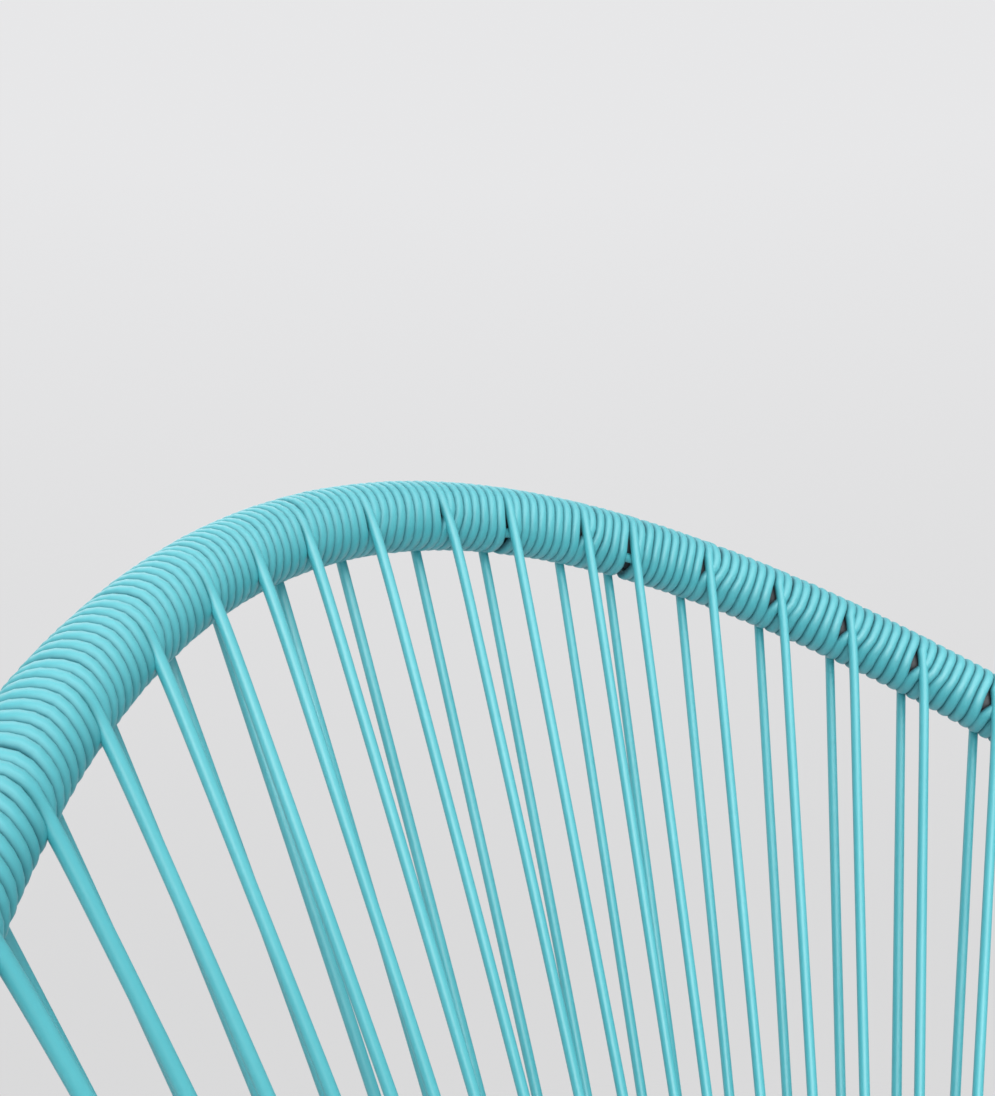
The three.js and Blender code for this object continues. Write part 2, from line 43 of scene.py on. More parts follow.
RIM_TOP_HEIGHT = 0.885

# Inner ring: a tilted oval
RING_RADIUS = 0.008
RING_HALF_WIDTH = 0.0735
RING_HALF_LENGTH = 0.115
RING_TILT = math.radians(42)
RING_CENTRE_BACK = 0.1576
RING_CENTRE_HEIGHT = 0.3125

# Cord. A place on the rim is its distance from the top middle, positive towards +X. Turns press
# each other square, and strands are round. Where a strand meets the rim it is pressed by the share
# PRESSED_START, which fades along PRESSED_RUN of it and grows at each step along the turns.
CORD_RADIUS = 0.00238
STRAND_RADIUS = 0.00226
PRESSED_POWER = 2.5
PRESSED_OVERLAP = 1.004
PRESSED_RUN = 0.010
PRESSED_START = 0.4
PRESSED_STEP = 0.3
GROOVE_ANGLE = math.radians(72)
TURN_PITCH = 0.00494
TOUCH_GAP = 0.00006

# The vees in the picture, from left to right, and the turns between them
SEEN_TOP_PLACES = [-0.1695, -0.1362, -0.1020, -0.0611, -0.0143, 0.0252, 0.0694, 0.0975, 0.1405]
SEEN_FRONT_PLACES = [-0.1678, -0.1342, -0.1005, -0.0590, -0.0117, 0.0251, 0.0689, 0.0963, 0.1403]
SEEN_REAR_PLACES = [-0.1690, -0.1360, -0.0965, -0.0577, -0.0138, 0.0249, 0.0679, 0.0952, 0.1363]
SEEN_TURNS = [7, 7, 8, 9, 8, 9, 6, 9]

# The rest of the winding, the steps along the cord and the way a strand leaves the rim
BAY_LENGTH = 0.0404
TAB_BAY_EXTRA = 0.0068
TURN_WANDER = 0.00010
TURN_STEPS = 24
CORD_SIDES = 16
HOOK_STEPS = 12
CORNER_RUN = 0.004
STRAND_LEAN = 0.0012
LEAN_RUN = 0.0125
NEAR_RUN = 4 * LEAN_RUN
NEAR_STEPS = 14
FAR_STEPS = 6
LEAVING_ANGLE = math.radians(9)

# The turns bow towards -X where they cross the sitter's side, and a leaving strand bows less
BOW_LEFT = 0.0034
BOW_RIGHT = 0.0013
BOW_ANGLE = math.radians(15)
BOW_REACH = math.radians(58)
LEAVING_BOW = 0.5

# The slot that a vee leaves between the turns narrows over SLOT_REACH and is closed at SLOT_END from
# the front. The shift of the turns that closes it starts SLOT_START turns after the vee, and fades out
# from SLOT_FADE turns on.
SLOT_REACH = math.radians(50)
SLOT_END = math.radians(60)
SLOT_WANDER = math.radians(5)
SLOT_START = 0.75
SLOT_FADE = 1.25
# By number of the vee: how far its slot is closed, and at what angle
SEEN_SLOTS = {
    4: (1.0, math.radians(55)),
    5: (0.25, math.radians(80)),
    7: (0.1, math.radians(80)),
    8: (1.0, math.radians(52)),
}
# The cord's ends lie under the turns, in the slots of these vees
TAIL_SLOTS = (5, 7)
TAIL_ANGLE = math.radians(50)
TAIL_BULGE = 0.0006
TAIL_BULGE_ANGLE = math.radians(34)
TAIL_RADIAL = 0.0125
TAIL_REACH = 0.009
TAIL_STEPS = 12
TAIL_ROUND_SHARE = 0.3

# Knee joints
REAR_TAB_PLACE = 0.60176
FRONT_TAB_PLACE = 0.93970
TAB_SHIFT = 0.004
KNEE_DROP = 0.046
TAB_HALF_WIDTH = 0.0085
TAB_THICKNESS = 0.004
TAB_ROUNDING = 0.0005
TAB_ARC_STEPS = 32
TAB_SIDE_STEPS = 7
TAB_END_STEPS = 16
SEAT_GAP = 0.0003
SPACER_LENGTH = 0.004
SPACER_RADIUS = 0.0075
SPACER_ROUNDING = 0.0006
BOLT_RADIUS = 0.004
BOLT_HOLE_RADIUS = 0.0043
BOLT_HEAD_RADIUS = 0.007
BOLT_HEAD_HEIGHT = 0.005
BOLT_HEAD_START = math.radians(32)
BOLT_HEAD_CROWN_SHARE = 1.18
BOLT_HEAD_BRIM = 0.0002
BOLT_HEAD_STEPS = 12
BOLT_END_RUN = 0.002
BOLT_END_BEVEL = 0.0006
BOLT_END_NARROWING = 0.0007
BOLT_SIDES = 36
WASHER_RADIUS = 0.0085
WASHER_THICKNESS = 0.0016
WASHER_ROUNDING = 0.0003
COLLAR_SIDES = 48
NUT_HALF_FLATS = 0.0065
NUT_HEIGHT = 0.0065
NUT_MOUTH = 0.0004
NUT_LEVELS = [0.0, 0.0002, 0.0004, 0.0006, 0.0009]
NUT_FACE_SHARE = 0.97
NUT_CHAMFER_SLOPE = 1.7
NUT_SIDES = 72
THREAD_PITCH = 0.00125
THREAD_DEPTH = 0.00045
THREAD_RUN = 0.0085
THREAD_STEPS = 10
SOCKET_RADIUS = 0.0028
SOCKET_DEPTH = 0.0026
SOCKET_BEVEL = 0.0003
SOCKET_BEVEL_DEPTH = 0.0001

# Leg hoops and their feet
HOOP_RADIUS = 0.010
KNEE_BEND_RADIUS = 0.024
CRADLE_BEND_RADIUS = 0.036
CRADLE_DROP = 0.050
KNEE_STEPS = 24
CRADLE_STEPS = 16
LONGEST_RUN = 0.02
FRONT_FOOT = (0.285, -0.305, 0.0)
REAR_FOOT = (0.275, 0.350, 0.0)
CAP_WALL = 0.003
CAP_HEIGHT = 0.030
CAP_FLOOR = 0.012
CAP_ROUND = 0.0012
CAP_ROUND_STEPS = 6
CAP_BEVEL = 0.0006
CAP_RIB_LEVELS = (0.006, 0.012)
CAP_RIB_HALF_WIDTH = 0.0012
CAP_RIB_HEIGHT = 0.0007
CAP_SIDES = 56

# Gussets and welds. A gusset runs from one tube into the other, to these shares of their radii.
GUSSET_THICKNESS = 0.0025
GUSSET_WIDTH = 0.008
GUSSET_INSET = 0.004
GUSSET_ROUNDING = 0.0004
GUSSET_ROUND_STEPS = 3
GUSSET_ROWS = 5
GUSSET_RING_SHARE = 0.7
GUSSET_HOOP_SHARE = 0.9
WELD_RADIUS = 0.0011
WELD_STANDING = 0.25 * WELD_RADIUS
WELD_RIPPLE = 0.16
WELD_RIPPLE_RUN = 0.0016
WELD_MARGIN = 0.03
WELD_END_SHARE = 0.05
WELD_STEPS = 90
WELD_SIDES = 12

# Any piece
TUBE_SIDES = 32
RIM_STEPS = 720
RING_STEPS = 240
AXIS_GAP = 0.0002
ROUND_SHARE = 0.3
SHARP_ANGLE = math.radians(32)
LEAST_CROSS = 0.1

# Camera
CAMERA_PLACE = (-0.3371, -0.0509, 0.8294)
CAMERA_YAW = 0.70132
CAMERA_PITCH = 0.07340
CAMERA_ROLL = -0.03706
CAMERA_LENS = 39.23
CAMERA_NEAR = 0.02
SENSOR_SIZE = 36.0

# Studio. A lamp has a place, a size, watts and a colour.
FLOOR_MIDDLE_RADIUS = 0.4
FLOOR_RADIUS = 2.6
COVE_RADIUS = 0.7
WALL_HEIGHT = 4.2
STAGE_STEPS = 12
STAGE_SIDES = 96
WALL_FADE_HEIGHT = 2.2
GLOW_START = 0.9
GLOW_FULL = 2.0
LAMP_TARGET = (0.0, 0.1, 0.6)
LAMPS = {
    "key": ((0.0, -1.3, 2.6), 3.2, 48.0, (1.0, 0.985, 0.95)),
    "fill": ((-1.7, -1.8, 1.2), 2.4, 60.0, (1.0, 0.985, 0.97)),
    "back": ((0.3, 2.0, 2.6), 3.0, 26.0, (1.0, 0.96, 0.97)),
}
WORLD_COLOUR = (0.88, 0.94, 1.0, 1.0)
WORLD_STRENGTH = 0.84

# Rounds of a search that settles, and the seed of the random draws
PASSES = 6
SEED = 11

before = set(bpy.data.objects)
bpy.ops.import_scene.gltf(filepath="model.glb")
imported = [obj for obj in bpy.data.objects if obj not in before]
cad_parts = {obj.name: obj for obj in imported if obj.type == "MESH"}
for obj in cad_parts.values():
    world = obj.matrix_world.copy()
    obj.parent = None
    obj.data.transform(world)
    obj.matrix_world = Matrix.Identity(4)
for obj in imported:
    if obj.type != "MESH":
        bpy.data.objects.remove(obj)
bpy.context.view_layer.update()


# Vectors and curves


def unit(vector):
    return vector / np.linalg.norm(vector, axis=-1, keepdims=True)


def rim_fall(run):
    """How far the side view has come forward and down after a run from the top."""
    bend_radius = RIM_BEND_RUN / (RIM_BACK_ANGLE - RIM_SEAT_ANGLE)
    straight = np.minimum(run, RIM_BACK_RUN)
    bend = np.clip(run - RIM_BACK_RUN, 0, RIM_BEND_RUN)
    last = np.maximum(run - RIM_BACK_RUN - RIM_BEND_RUN, 0)
    angle = RIM_BACK_ANGLE - bend / bend_radius
    forward = (
        straight * math.cos(RIM_BACK_ANGLE)
        + bend_radius * (math.sin(RIM_BACK_ANGLE) - np.sin(angle))
        + last * math.cos(RIM_SEAT_ANGLE)
    )
    down = (
        straight * math.sin(RIM_BACK_ANGLE)
        + bend_radius * (np.cos(angle) - math.cos(RIM_BACK_ANGLE))
        + last * math.sin(RIM_SEAT_ANGLE)
    )
    return forward, down


def rim_points(turn):
    forward, down = rim_fall(RIM_SIDE_LENGTH * (1 - np.cos(turn)) / 2)
    side = RIM_HALF_WIDTH * np.sin(turn) * (1 - RIM_EGG_SHARE * np.cos(turn))
    return np.stack([side, RIM_TOP_BACK - forward, RIM_TOP_HEIGHT - down], axis=-1)


def ring_points(turn):
    along = RING_HALF_LENGTH * np.cos(turn)
    side = RING_HALF_WIDTH * np.sin(turn)
    back = RING_CENTRE_BACK + along * math.cos(RING_TILT)
    return np.stack([side, back, RING_CENTRE_HEIGHT + along * math.sin(RING_TILT)], axis=-1)


class ClosedCurve:
    """A closed curve that is read by its share of the length."""

    def __init__(self, make_points, count=6000):
        points = make_points(np.linspace(0, 2 * math.pi, count, endpoint=False))
        tangents = unit(np.roll(points, -1, axis=0) - np.roll(points, 1, axis=0))
        self.points = np.vstack([points, points[:1]])
        self.tangents = np.vstack([tangents, tangents[:1]])
        runs = np.linalg.norm(np.diff(self.points, axis=0), axis=1)
        self.reach = np.concatenate([[0], np.cumsum(runs)])
        self.length = self.reach[-1]

    def at(self, share):
        reach = np.mod(share, 1) * self.length
        centre, tangent = (
            np.stack([np.interp(reach, self.reach, column) for column in rows.T], axis=-1)
            for rows in (self.points, self.tangents)
        )
        return centre, unit(tangent)


RIM = ClosedCurve(rim_points)
RING = ClosedCurve(ring_points)


def frames(places, curve):
    """Centre, tangent, way down to the ring and sitter's side at places along the rim."""
    share = np.asarray(places, float) / RIM.length
    centre, tangent = curve.at(share)
    down = RING.at(share)[0] - RIM.at(share)[0]
    down = unit(down - np.sum(down * tangent, axis=-1, keepdims=True) * tangent)
    return centre, tangent, down, np.cross(down, tangent)


def wrap_points(places, angles, radius, curve):
    """Points round a tube: angle 0 is the sitter's side, a quarter turn faces the ring."""
    centre, _, down, front = frames(places, curve)
    radius = np.asarray(radius, float)[..., None]
    angles = np.asarray(angles, float)[..., None]
    return centre + radius * (front * np.cos(angles) + down * np.sin(angles))


def mirrored(vector):
    return np.array([-vector[0], vector[1], vector[2]])


# Meshes


def mesh_object(name, points, faces, material, uvs=None):
    """A smooth piece. uvs holds one pair for every corner, face by face."""
    mesh = bpy.data.meshes.new(name)
    mesh.from_pydata(np.asarray(points, float).tolist(), [], faces)
    if uvs is not None:
        layer = mesh.uv_layers.new(name="along")
        layer.data.foreach_set("uv", np.asarray(uvs, np.float32).ravel())
    mesh.polygons.foreach_set("use_smooth", [True] * len(mesh.polygons))
    mesh.materials.append(material)
    mesh.update()
    piece = bpy.data.objects.new(name, mesh)
    bpy.context.scene.collection.objects.link(piece)
    return piece


def finish_piece(piece, slot, *nodes):
    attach(piece, "root")
    if nodes:
        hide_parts(*nodes)


def path_tangents(points, closed):
    if closed:
        return unit(np.roll(points, -1, axis=0) - np.roll(points, 1, axis=0))
    return unit(np.gradient(points, axis=0))


def transported_normals(tangents):
    """Unit normals that turn with a path and don't twist."""
    normal = np.cross(tangents[0], [0, 0, 1])
    if np.linalg.norm(normal) < LEAST_CROSS:
        normal = np.cross(tangents[0], [0, 1, 0])
    normals = np.empty_like(tangents)
    for index, tangent in enumerate(tangents):
        normal = normal - tangent * float(normal @ tangent)
        normal = normal / math.sqrt(float(normal @ normal))
        normals[index] = normal
    return normals


def band_faces(rows, sides, closed):
    """Quads from each row of points to the next one, and from the last to the first if closed."""
    faces = []
    for row in range(rows if closed else rows - 1):
        here, after = row * sides, (row + 1) % rows * sides
        for index in range(sides):
            beside = (index + 1) % sides
            faces.append([here + index, here + beside, after + beside, after + index])
    return faces


def end_faces(rows, sides):
    """The faces that close the first and the last row."""
    return [list(range(sides))[::-1], list(range((rows - 1) * sides, rows * sides))]


def skin(rings, lengths, closed):
    """Faces and corner coordinates of a skin over rings of points, one ring for each row."""
    rows, sides = rings.shape[:2]
    row = np.arange(rows if closed else rows - 1)[:, None]
    column = np.arange(sides)[None, :]
    after = (row + 1) % rows
    beside = (column + 1) % sides
    here, there = row * sides, after * sides
    quads = np.stack([here + column, here + beside, there + beside, there + column], axis=-1)
    low, high = lengths[:-1][:, None], lengths[1:][:, None]
    left, right = column / sides, (column + 1) / sides
    corners = [(left, low), (right, low), (right, high), (left, high)]
    uvs = np.stack([np.stack(np.broadcast_arrays(*corner), axis=-1) for corner in corners], axis=-2)
    faces = quads.reshape(-1, 4).tolist()
    uvs = uvs.reshape(-1, 2)
    if not closed:
        faces += end_faces(rows, sides)
        uvs = np.vstack([uvs, np.zeros((2 * sides, 2))])
    return faces, uvs


def path_lengths(points, closed):
    loop = np.vstack([points, points[:1]]) if closed else points
    return np.concatenate([[0], np.cumsum(np.linalg.norm(np.diff(loop, axis=0), axis=1))])


def tube_piece(name, points, radii, sides, material, closed=False):
    """A round tube along a path."""
    points = np.asarray(points, float)
    radii = np.broadcast_to(np.asarray(radii, float), (len(points),))
    tangents = path_tangents(points, closed)
    normals = transported_normals(tangents)
    across = np.cross(tangents, normals)
    angles = 2 * math.pi * np.arange(sides) / sides
    if closed:
        first, last = normals[0], normals[-1]
        twist = math.atan2(float(np.cross(last, first) @ tangents[0]), float(last @ first))
        angles = angles[None, :] + (twist * np.arange(len(points)) / len(points))[:, None]
    else:
        angles = np.broadcast_to(angles, (len(points), sides))
    rings = points[:, None, :] + radii[:, None, None] * (
        np.cos(angles)[..., None] * normals[:, None, :] + np.sin(angles)[..., None] * across[:, None, :]
    )
    faces, uvs = skin(rings, path_lengths(points, closed), closed)
    return mesh_object(name, rings.reshape(-1, 3), faces, material, uvs)


def rounded_ends(points, radius, rounding, steps=4):
    """A path and its radii with a small round at both cut ends."""
    start = unit(points[1] - points[0])
    end = unit(points[-1] - points[-2])
    turns = math.pi / 2 * np.arange(steps + 1) / steps
    inset = (rounding * (1 - np.cos(turns)))[:, None]
    narrowing = rounding * (1 - np.sin(turns))
    head = points[0] + start * inset
    tail = points[-1] - end * inset[::-1]
    middle = np.full(len(points) - 2, radius)
    radii = np.concatenate([radius - narrowing, middle, radius - narrowing[::-1]])
    return np.vstack([head, points[1:-1], tail]), radii


def surface_of_turning(profile, sides, shape=None):
    """Points and faces of a closed profile of (radius, height) turned about Z.

    shape(angle, radius, height) may change the radius.
    """
    points = []
    for radius, height in profile:
        for index in range(sides):
            angle = 2 * math.pi * index / sides
            reach = shape(angle, radius, height) if shape else radius
            points.append((reach * math.cos(angle), reach * math.sin(angle), height))
    return np.array(points), band_faces(len(profile), sides, True)


def open_turning(profile, sides, shape=None):
    """The same for a profile that starts and ends on the axis, closed by two end faces."""
    points, _ = surface_of_turning(profile, sides, shape)
    return points, band_faces(len(profile), sides, False) + end_faces(len(profile), sides)


def placed(points, origin, axis):
    """Points drawn about Z, moved so that Z lies along the axis."""
    side = np.cross(axis, [0, 0, 1])
    if np.linalg.norm(side) < LEAST_CROSS:
        side = np.array([1, 0, 0]) - axis * axis[0]
    side = unit(side)
    return origin + points @ [side, np.cross(axis, side), axis]


def sharpened(piece):
    """Smooth shading that keeps the sharp edges."""
    mesh = piece.data
    flat = bmesh.new()
    flat.from_mesh(mesh)
    bmesh.ops.recalc_face_normals(flat, faces=flat.faces)
    for edge in flat.edges:
        edge.smooth = edge.is_boundary or edge.calc_face_angle(0.0) < SHARP_ANGLE
    flat.to_mesh(mesh)
    flat.free()
    return piece


# Materials


def node_material(name, roughness, metallic=0.0):
    material = bpy.data.materials.new(name)
    material.use_nodes = True
    shader = material.node_tree.nodes["Principled BSDF"]
    shader.inputs["Roughness"].default_value = roughness
    shader.inputs["Metallic"].default_value = metallic
    return material, material.node_tree, shader


def noise(tree, vector, scale, detail, roughness=0.5):
    node = tree.nodes.new("ShaderNodeTexNoise")
    node.inputs["Scale"].default_value = scale
    node.inputs["Detail"].default_value = detail
    node.inputs["Roughness"].default_value = roughness
    tree.links.new(vector, node.inputs["Vector"])
    return node.outputs["Fac"]


def colour_ramp(tree, fac, stops):
    """A ramp between two stops, each a position and a colour."""
    node = tree.nodes.new("ShaderNodeValToRGB")
    for element, (position, colour) in zip(node.color_ramp.elements, stops):
        element.position = position
        element.color = (*colour, 1.0)
    tree.links.new(fac, node.inputs["Fac"])
    return node.outputs["Color"]


def number_range(tree, value, low, high, start=0.0, end=1.0, smooth=False):
    node = tree.nodes.new("ShaderNodeMapRange")
    node.interpolation_type = "SMOOTHSTEP" if smooth else "LINEAR"
    for name, number in (("From Min", start), ("From Max", end), ("To Min", low), ("To Max", high)):
        node.inputs[name].default_value = number
    tree.links.new(value, node.inputs["Value"])
    return node.outputs["Result"]


def calculated(tree, operation, first, second):
    """A sum, product or larger value of two sockets."""
    node = tree.nodes.new("ShaderNodeMath")
    node.operation = operation
    tree.links.new(first, node.inputs[0])
    tree.links.new(second, node.inputs[1])
    return node.outputs[0]


def bump(tree, height, strength, distance, normal=None):
    node = tree.nodes.new("ShaderNodeBump")
    node.inputs["Strength"].default_value = strength
    node.inputs["Distance"].default_value = distance
    tree.links.new(height, node.inputs["Height"])
    if normal is not None:
        tree.links.new(normal, node.inputs["Normal"])
    return node.outputs["Normal"]


def coordinates(tree, kind="Object", scale=(1.0, 1.0, 1.0)):
    source = tree.nodes.new("ShaderNodeTexCoord")
    mapping = tree.nodes.new("ShaderNodeMapping")
    mapping.inputs["Scale"].default_value = scale
    tree.links.new(source.outputs[kind], mapping.inputs["Vector"])
    return mapping.outputs["Vector"]


def pvc_material():
    """Extruded PVC cord: satin, with fine lines along it, slow changes of shade, and grooves between
    turns that are rougher and darkened by painted shade.
    """
    material, tree, shader = node_material("pvc_turquoise", 0.38)
    space = coordinates(tree)
    slow = noise(tree, space, scale=14.0, detail=2.0)
    colour = colour_ramp(tree, slow, [(0.3, (0.050, 0.366, 0.416)), (0.7, (0.066, 0.400, 0.452))])
    # Painted shade: the groove depth between pressed turns mixes the base colour towards a dark teal,
    # standing in for the shade that falls in the grooves
    groove = tree.nodes.new("ShaderNodeAttribute")
    groove.attribute_name = "groove"
    mix = tree.nodes.new("ShaderNodeMix")
    mix.data_type = "RGBA"
    mix.inputs["B"].default_value = (0.001, 0.090, 0.125, 1.0)
    tree.links.new(number_range(tree, groove.outputs["Fac"], low=0.0, high=0.85), mix.inputs["Factor"])
    tree.links.new(colour, mix.inputs["A"])
    tree.links.new(mix.outputs["Result"], shader.inputs["Base Color"])
    along = coordinates(tree, "UV", scale=(24.0, 60.0, 1.0))
    lines = noise(tree, along, scale=1.0, detail=3.0, roughness=0.6)
    satin = number_range(tree, lines, low=0.36, high=0.48)
    # The same groove depth also raises the roughness in the grooves
    dull = number_range(tree, groove.outputs["Fac"], low=0.0, high=0.52)
    tree.links.new(calculated(tree, "ADD", satin, dull), shader.inputs["Roughness"])
    grain = noise(tree, space, scale=2600.0, detail=2.0)
    normal = bump(tree, lines, strength=0.06, distance=0.00006)
    normal = bump(tree, grain, strength=0.04, distance=0.00004, normal=normal)
    tree.links.new(normal, shader.inputs["Normal"])
    shader.inputs["Specular IOR Level"].default_value = 0.95
    return material


def worn_material(name, roughness, metallic, fine, broad, colours, dulled, relief):
    """A fine grain in relief, under broad patches that change the shade and the roughness."""
    material, tree, shader = node_material(name, roughness, metallic)
    space = coordinates(tree)
    grain = noise(tree, space, **fine)
    patches = noise(tree, space, **broad)
    tree.links.new(colour_ramp(tree, patches, colours), shader.inputs["Base Color"])
    tree.links.new(number_range(tree, patches, *dulled), shader.inputs["Roughness"])
    tree.links.new(bump(tree, grain, **relief), shader.inputs["Normal"])
    return material


def steel_material():
    """Black powder coat: an orange-peel skin with dust-dulled patches."""
    return worn_material(
        "powder_coat_black",
        roughness=0.45,
        metallic=0.0,
        fine={"scale": 620.0, "detail": 3.0, "roughness": 0.55},
        broad={"scale": 18.0, "detail": 4.0, "roughness": 0.6},
        colours=[(0.35, (0.016, 0.022, 0.028)), (0.72, (0.027, 0.036, 0.043))],
        dulled=(0.36, 0.54),
        relief={"strength": 0.22, "distance": 0.00025},
    )


def zinc_material():
    """Bright zinc plate with a fine grain and dull stains."""
    return worn_material(
        "zinc_plate",
        roughness=0.32,
        metallic=1.0,
        fine={"scale": 2400.0, "detail": 2.0},
        broad={"scale": 210.0, "detail": 4.0, "roughness": 0.6},
        colours=[(0.3, (0.50, 0.51, 0.52)), (0.7, (0.68, 0.69, 0.70))],
        dulled=(0.24, 0.44),
        relief={"strength": 0.15, "distance": 0.00005},
    )


def plastic_material():
    """Moulded black plastic with a fine matte texture and light scuffs."""
    return worn_material(
        "moulded_black",
        roughness=0.6,
        metallic=0.0,
        fine={"scale": 1500.0, "detail": 3.0},
        broad={"scale": 60.0, "detail": 4.0, "roughness": 0.65},
        colours=[(0.4, (0.016, 0.016, 0.017)), (0.75, (0.034, 0.034, 0.036))],
        dulled=(0.52, 0.70),
        relief={"strength": 0.25, "distance": 0.0001},
    )


PVC = pvc_material()
STEEL = steel_material()
ZINC = zinc_material()
PLASTIC = plastic_material()


# The cord


# A vee of the cord: where its front strand leaves the rim, the lines that both strands keep to, the
# turns up to the next vee, the tab among them, and how far and up to what angle its slot is closed
Vee = namedtuple("Vee", "top front rear turns tab slot")


def vees():
    """The vees in order round the rim, ending with the first one again."""
    lap_end = SEEN_TOP_PLACES[0] + RIM.length
    half = BAY_LENGTH / 2
    rear_right = REAR_TAB_PLACE + TAB_SHIFT
    front_right = FRONT_TAB_PLACE + TAB_SHIFT
    middles = [rear_right, front_right, RIM.length - front_right, RIM.length - rear_right]
    anchors = [SEEN_TOP_PLACES[-1]]
    for middle in middles:
        anchors += [middle - half, middle + half]
    anchors.append(lap_end)
    seen = zip(SEEN_TOP_PLACES, SEEN_FRONT_PLACES, SEEN_REAR_PLACES, SEEN_TURNS)
    rows = [[top, front, rear, turns, None] for top, front, rear, turns in seen]
    for index in range(len(anchors) - 1):
        start, end = anchors[index], anchors[index + 1]
        holds_tab = index % 2 == 1
        count = 1 if holds_tab else max(1, round((end - start) / BAY_LENGTH))
        length = (end - start) / count
        for part in range(count):
            here = start + length * part
            turns, tab = round(length / TURN_PITCH), None
            if holds_tab:
                side = 1 if middles[index // 2] < RIM.length / 2 else -1
                turns = round((length - TAB_BAY_EXTRA) / TURN_PITCH)
                tab = middles[index // 2] - side * TAB_SHIFT
            rows.append([here, here + STRAND_LEAN, here, turns, tab])
    rows[len(SEEN_TURNS)][1:3] = SEEN_FRONT_PLACES[-1], SEEN_REAR_PLACES[-1]
    rows.append([lap_end, SEEN_FRONT_PLACES[0] + RIM.length, SEEN_REAR_PLACES[0] + RIM.length, 0, None])
    random = np.random.default_rng(SEED)
    slots = [(1.0, SLOT_END + random.uniform(-SLOT_WANDER, SLOT_WANDER)) for _ in rows]
    for index, slot in SEEN_SLOTS.items():
        slots[index] = slot
    slots[-1] = slots[0]
    return [Vee(*row, slot) for row, slot in zip(rows, slots)]


def smooth_step(value):
    value = np.clip(value, 0, 1)
    return value * value * (3 - 2 * value)


def tail_window(places):
    """1 over the two stretches where a tail of the cord lies under the turns, 0 elsewhere."""
    reach = np.zeros_like(places)
    for index in TAIL_SLOTS:
        beside = np.abs(places - SEEN_FRONT_PLACES[index]) / TAIL_REACH
        reach = np.maximum(reach, smooth_step(2 * (1 - beside)))
    return reach


def from_front(angles):
    """The angles from a quarter turn above the rim's front, through 0, to the same place again."""
    return np.mod(angles + math.pi / 2, 2 * math.pi) - math.pi / 2


def closing(angles, slot_ends):
    """0 at the rim's front and rear, 1 on its underside, where the turns lie together again."""
    angles = from_front(angles)
    front = smooth_step(1 - (slot_ends - angles) / SLOT_REACH)
    rear = smooth_step(1 - (SLOT_END - (math.pi - angles)) / SLOT_REACH)
    return front * rear


def hump(angles, middle, reach):
    """1 at the middle angle, falling to 0 at its reach on both sides."""
    beside = np.clip((from_front(angles) - middle) / reach, -1, 1)
    return np.cos(beside * math.pi / 2) ** 2


def bow(places, angles):
    """How far towards -X the turns lie, more at the left of the seen stretch than at its right."""
    first, last = SEEN_TOP_PLACES[0], SEEN_TOP_PLACES[-1]
    size = np.interp(places, [first, last, first + RIM.length], [BOW_LEFT, BOW_RIGHT, BOW_LEFT])
    return size * hump(angles, BOW_ANGLE, BOW_REACH)


class CordPath:
    """The stretches of the cord: its points, and at each the way out, half width and pressing."""

    def __init__(self):
        self.points, self.outward, self.widths, self.pressed = [], [], [], []

    def add(self, points, outward, widths, pressed):
        count = len(points)
        self.points.append(points)
        self.outward.append(outward)
        self.widths.append(np.broadcast_to(widths, (count,)))
        self.pressed.append(np.broadcast_to(pressed, (count,)))

    def joined(self):
        lists = (self.points, self.outward, self.widths, self.pressed)
        return [np.concatenate(rows) for rows in lists]


def add_turns(cord, vee, after, random):
    """The close turns of one bay, from the rear of the rim after a vee to the next vee."""
    start, end, turns, tab = vee.top, after.top, vee.turns, vee.tab
    count = int(round((turns - 0.5) * TURN_STEPS)) + 1
    leaving = LEAVING_ANGLE / (2 * math.pi)
    turned = np.linspace(0.5 + leaving, turns - leaving, count)
    angles = 2 * math.pi * turned
    extra = 0.0 if tab is None else TAB_BAY_EXTRA
    pitch = (end - start - extra) / turns
    places = start + pitch * turned
    if tab is not None:
        places = places + extra * np.clip((places + extra / 2 - tab) / pitch + 0.5, 0, 1)
    places = places + (vee.rear - (start + pitch / 2)) * (1 - np.clip((turned - 0.5) / 0.5, 0, 1))
    fading = turns - SLOT_START - SLOT_FADE
    share = np.clip((turned - SLOT_FADE) / fading, 0, 1)
    closed_share, slot_end = vee.slot
    slot_ends = slot_end + (after.slot[1] - slot_end) * share
    closed = closing(angles, slot_ends) * (turned > SLOT_START)
    places = places - closed * closed_share * pitch * (1 - share)
    places = places - bow(places, angles) * np.where(turned < turns - 0.5, 1, LEAVING_BOW)
    widths = pitch / 2 * (1 + closed * closed_share / fading)
    knots = np.arange(0, turns + 1, 0.5)
    wander = random.normal(0, TURN_WANDER, len(knots))
    wander[0] = wander[-1] = 0
    places = places + np.interp(turned, knots, wander)
    swell = np.interp(turned, knots, np.abs(random.normal(0, TURN_WANDER, len(knots))))
    lift = hump(angles, TAIL_ANGLE, TAIL_BULGE_ANGLE)
    radius = RIM_RADIUS + TOUCH_GAP + CORD_RADIUS + swell + TAIL_BULGE * lift * tail_window(places)
    from_end = np.minimum(turned - turned[0], turned[-1] - turned) * TURN_STEPS
    pressed = np.clip(PRESSED_START + PRESSED_STEP * from_end, 0, 1)
    points = wrap_points(places, angles, radius, RIM)
    cord.add(points, unit(points - wrap_points(places, angles, 0.0, RIM)), widths, pressed)


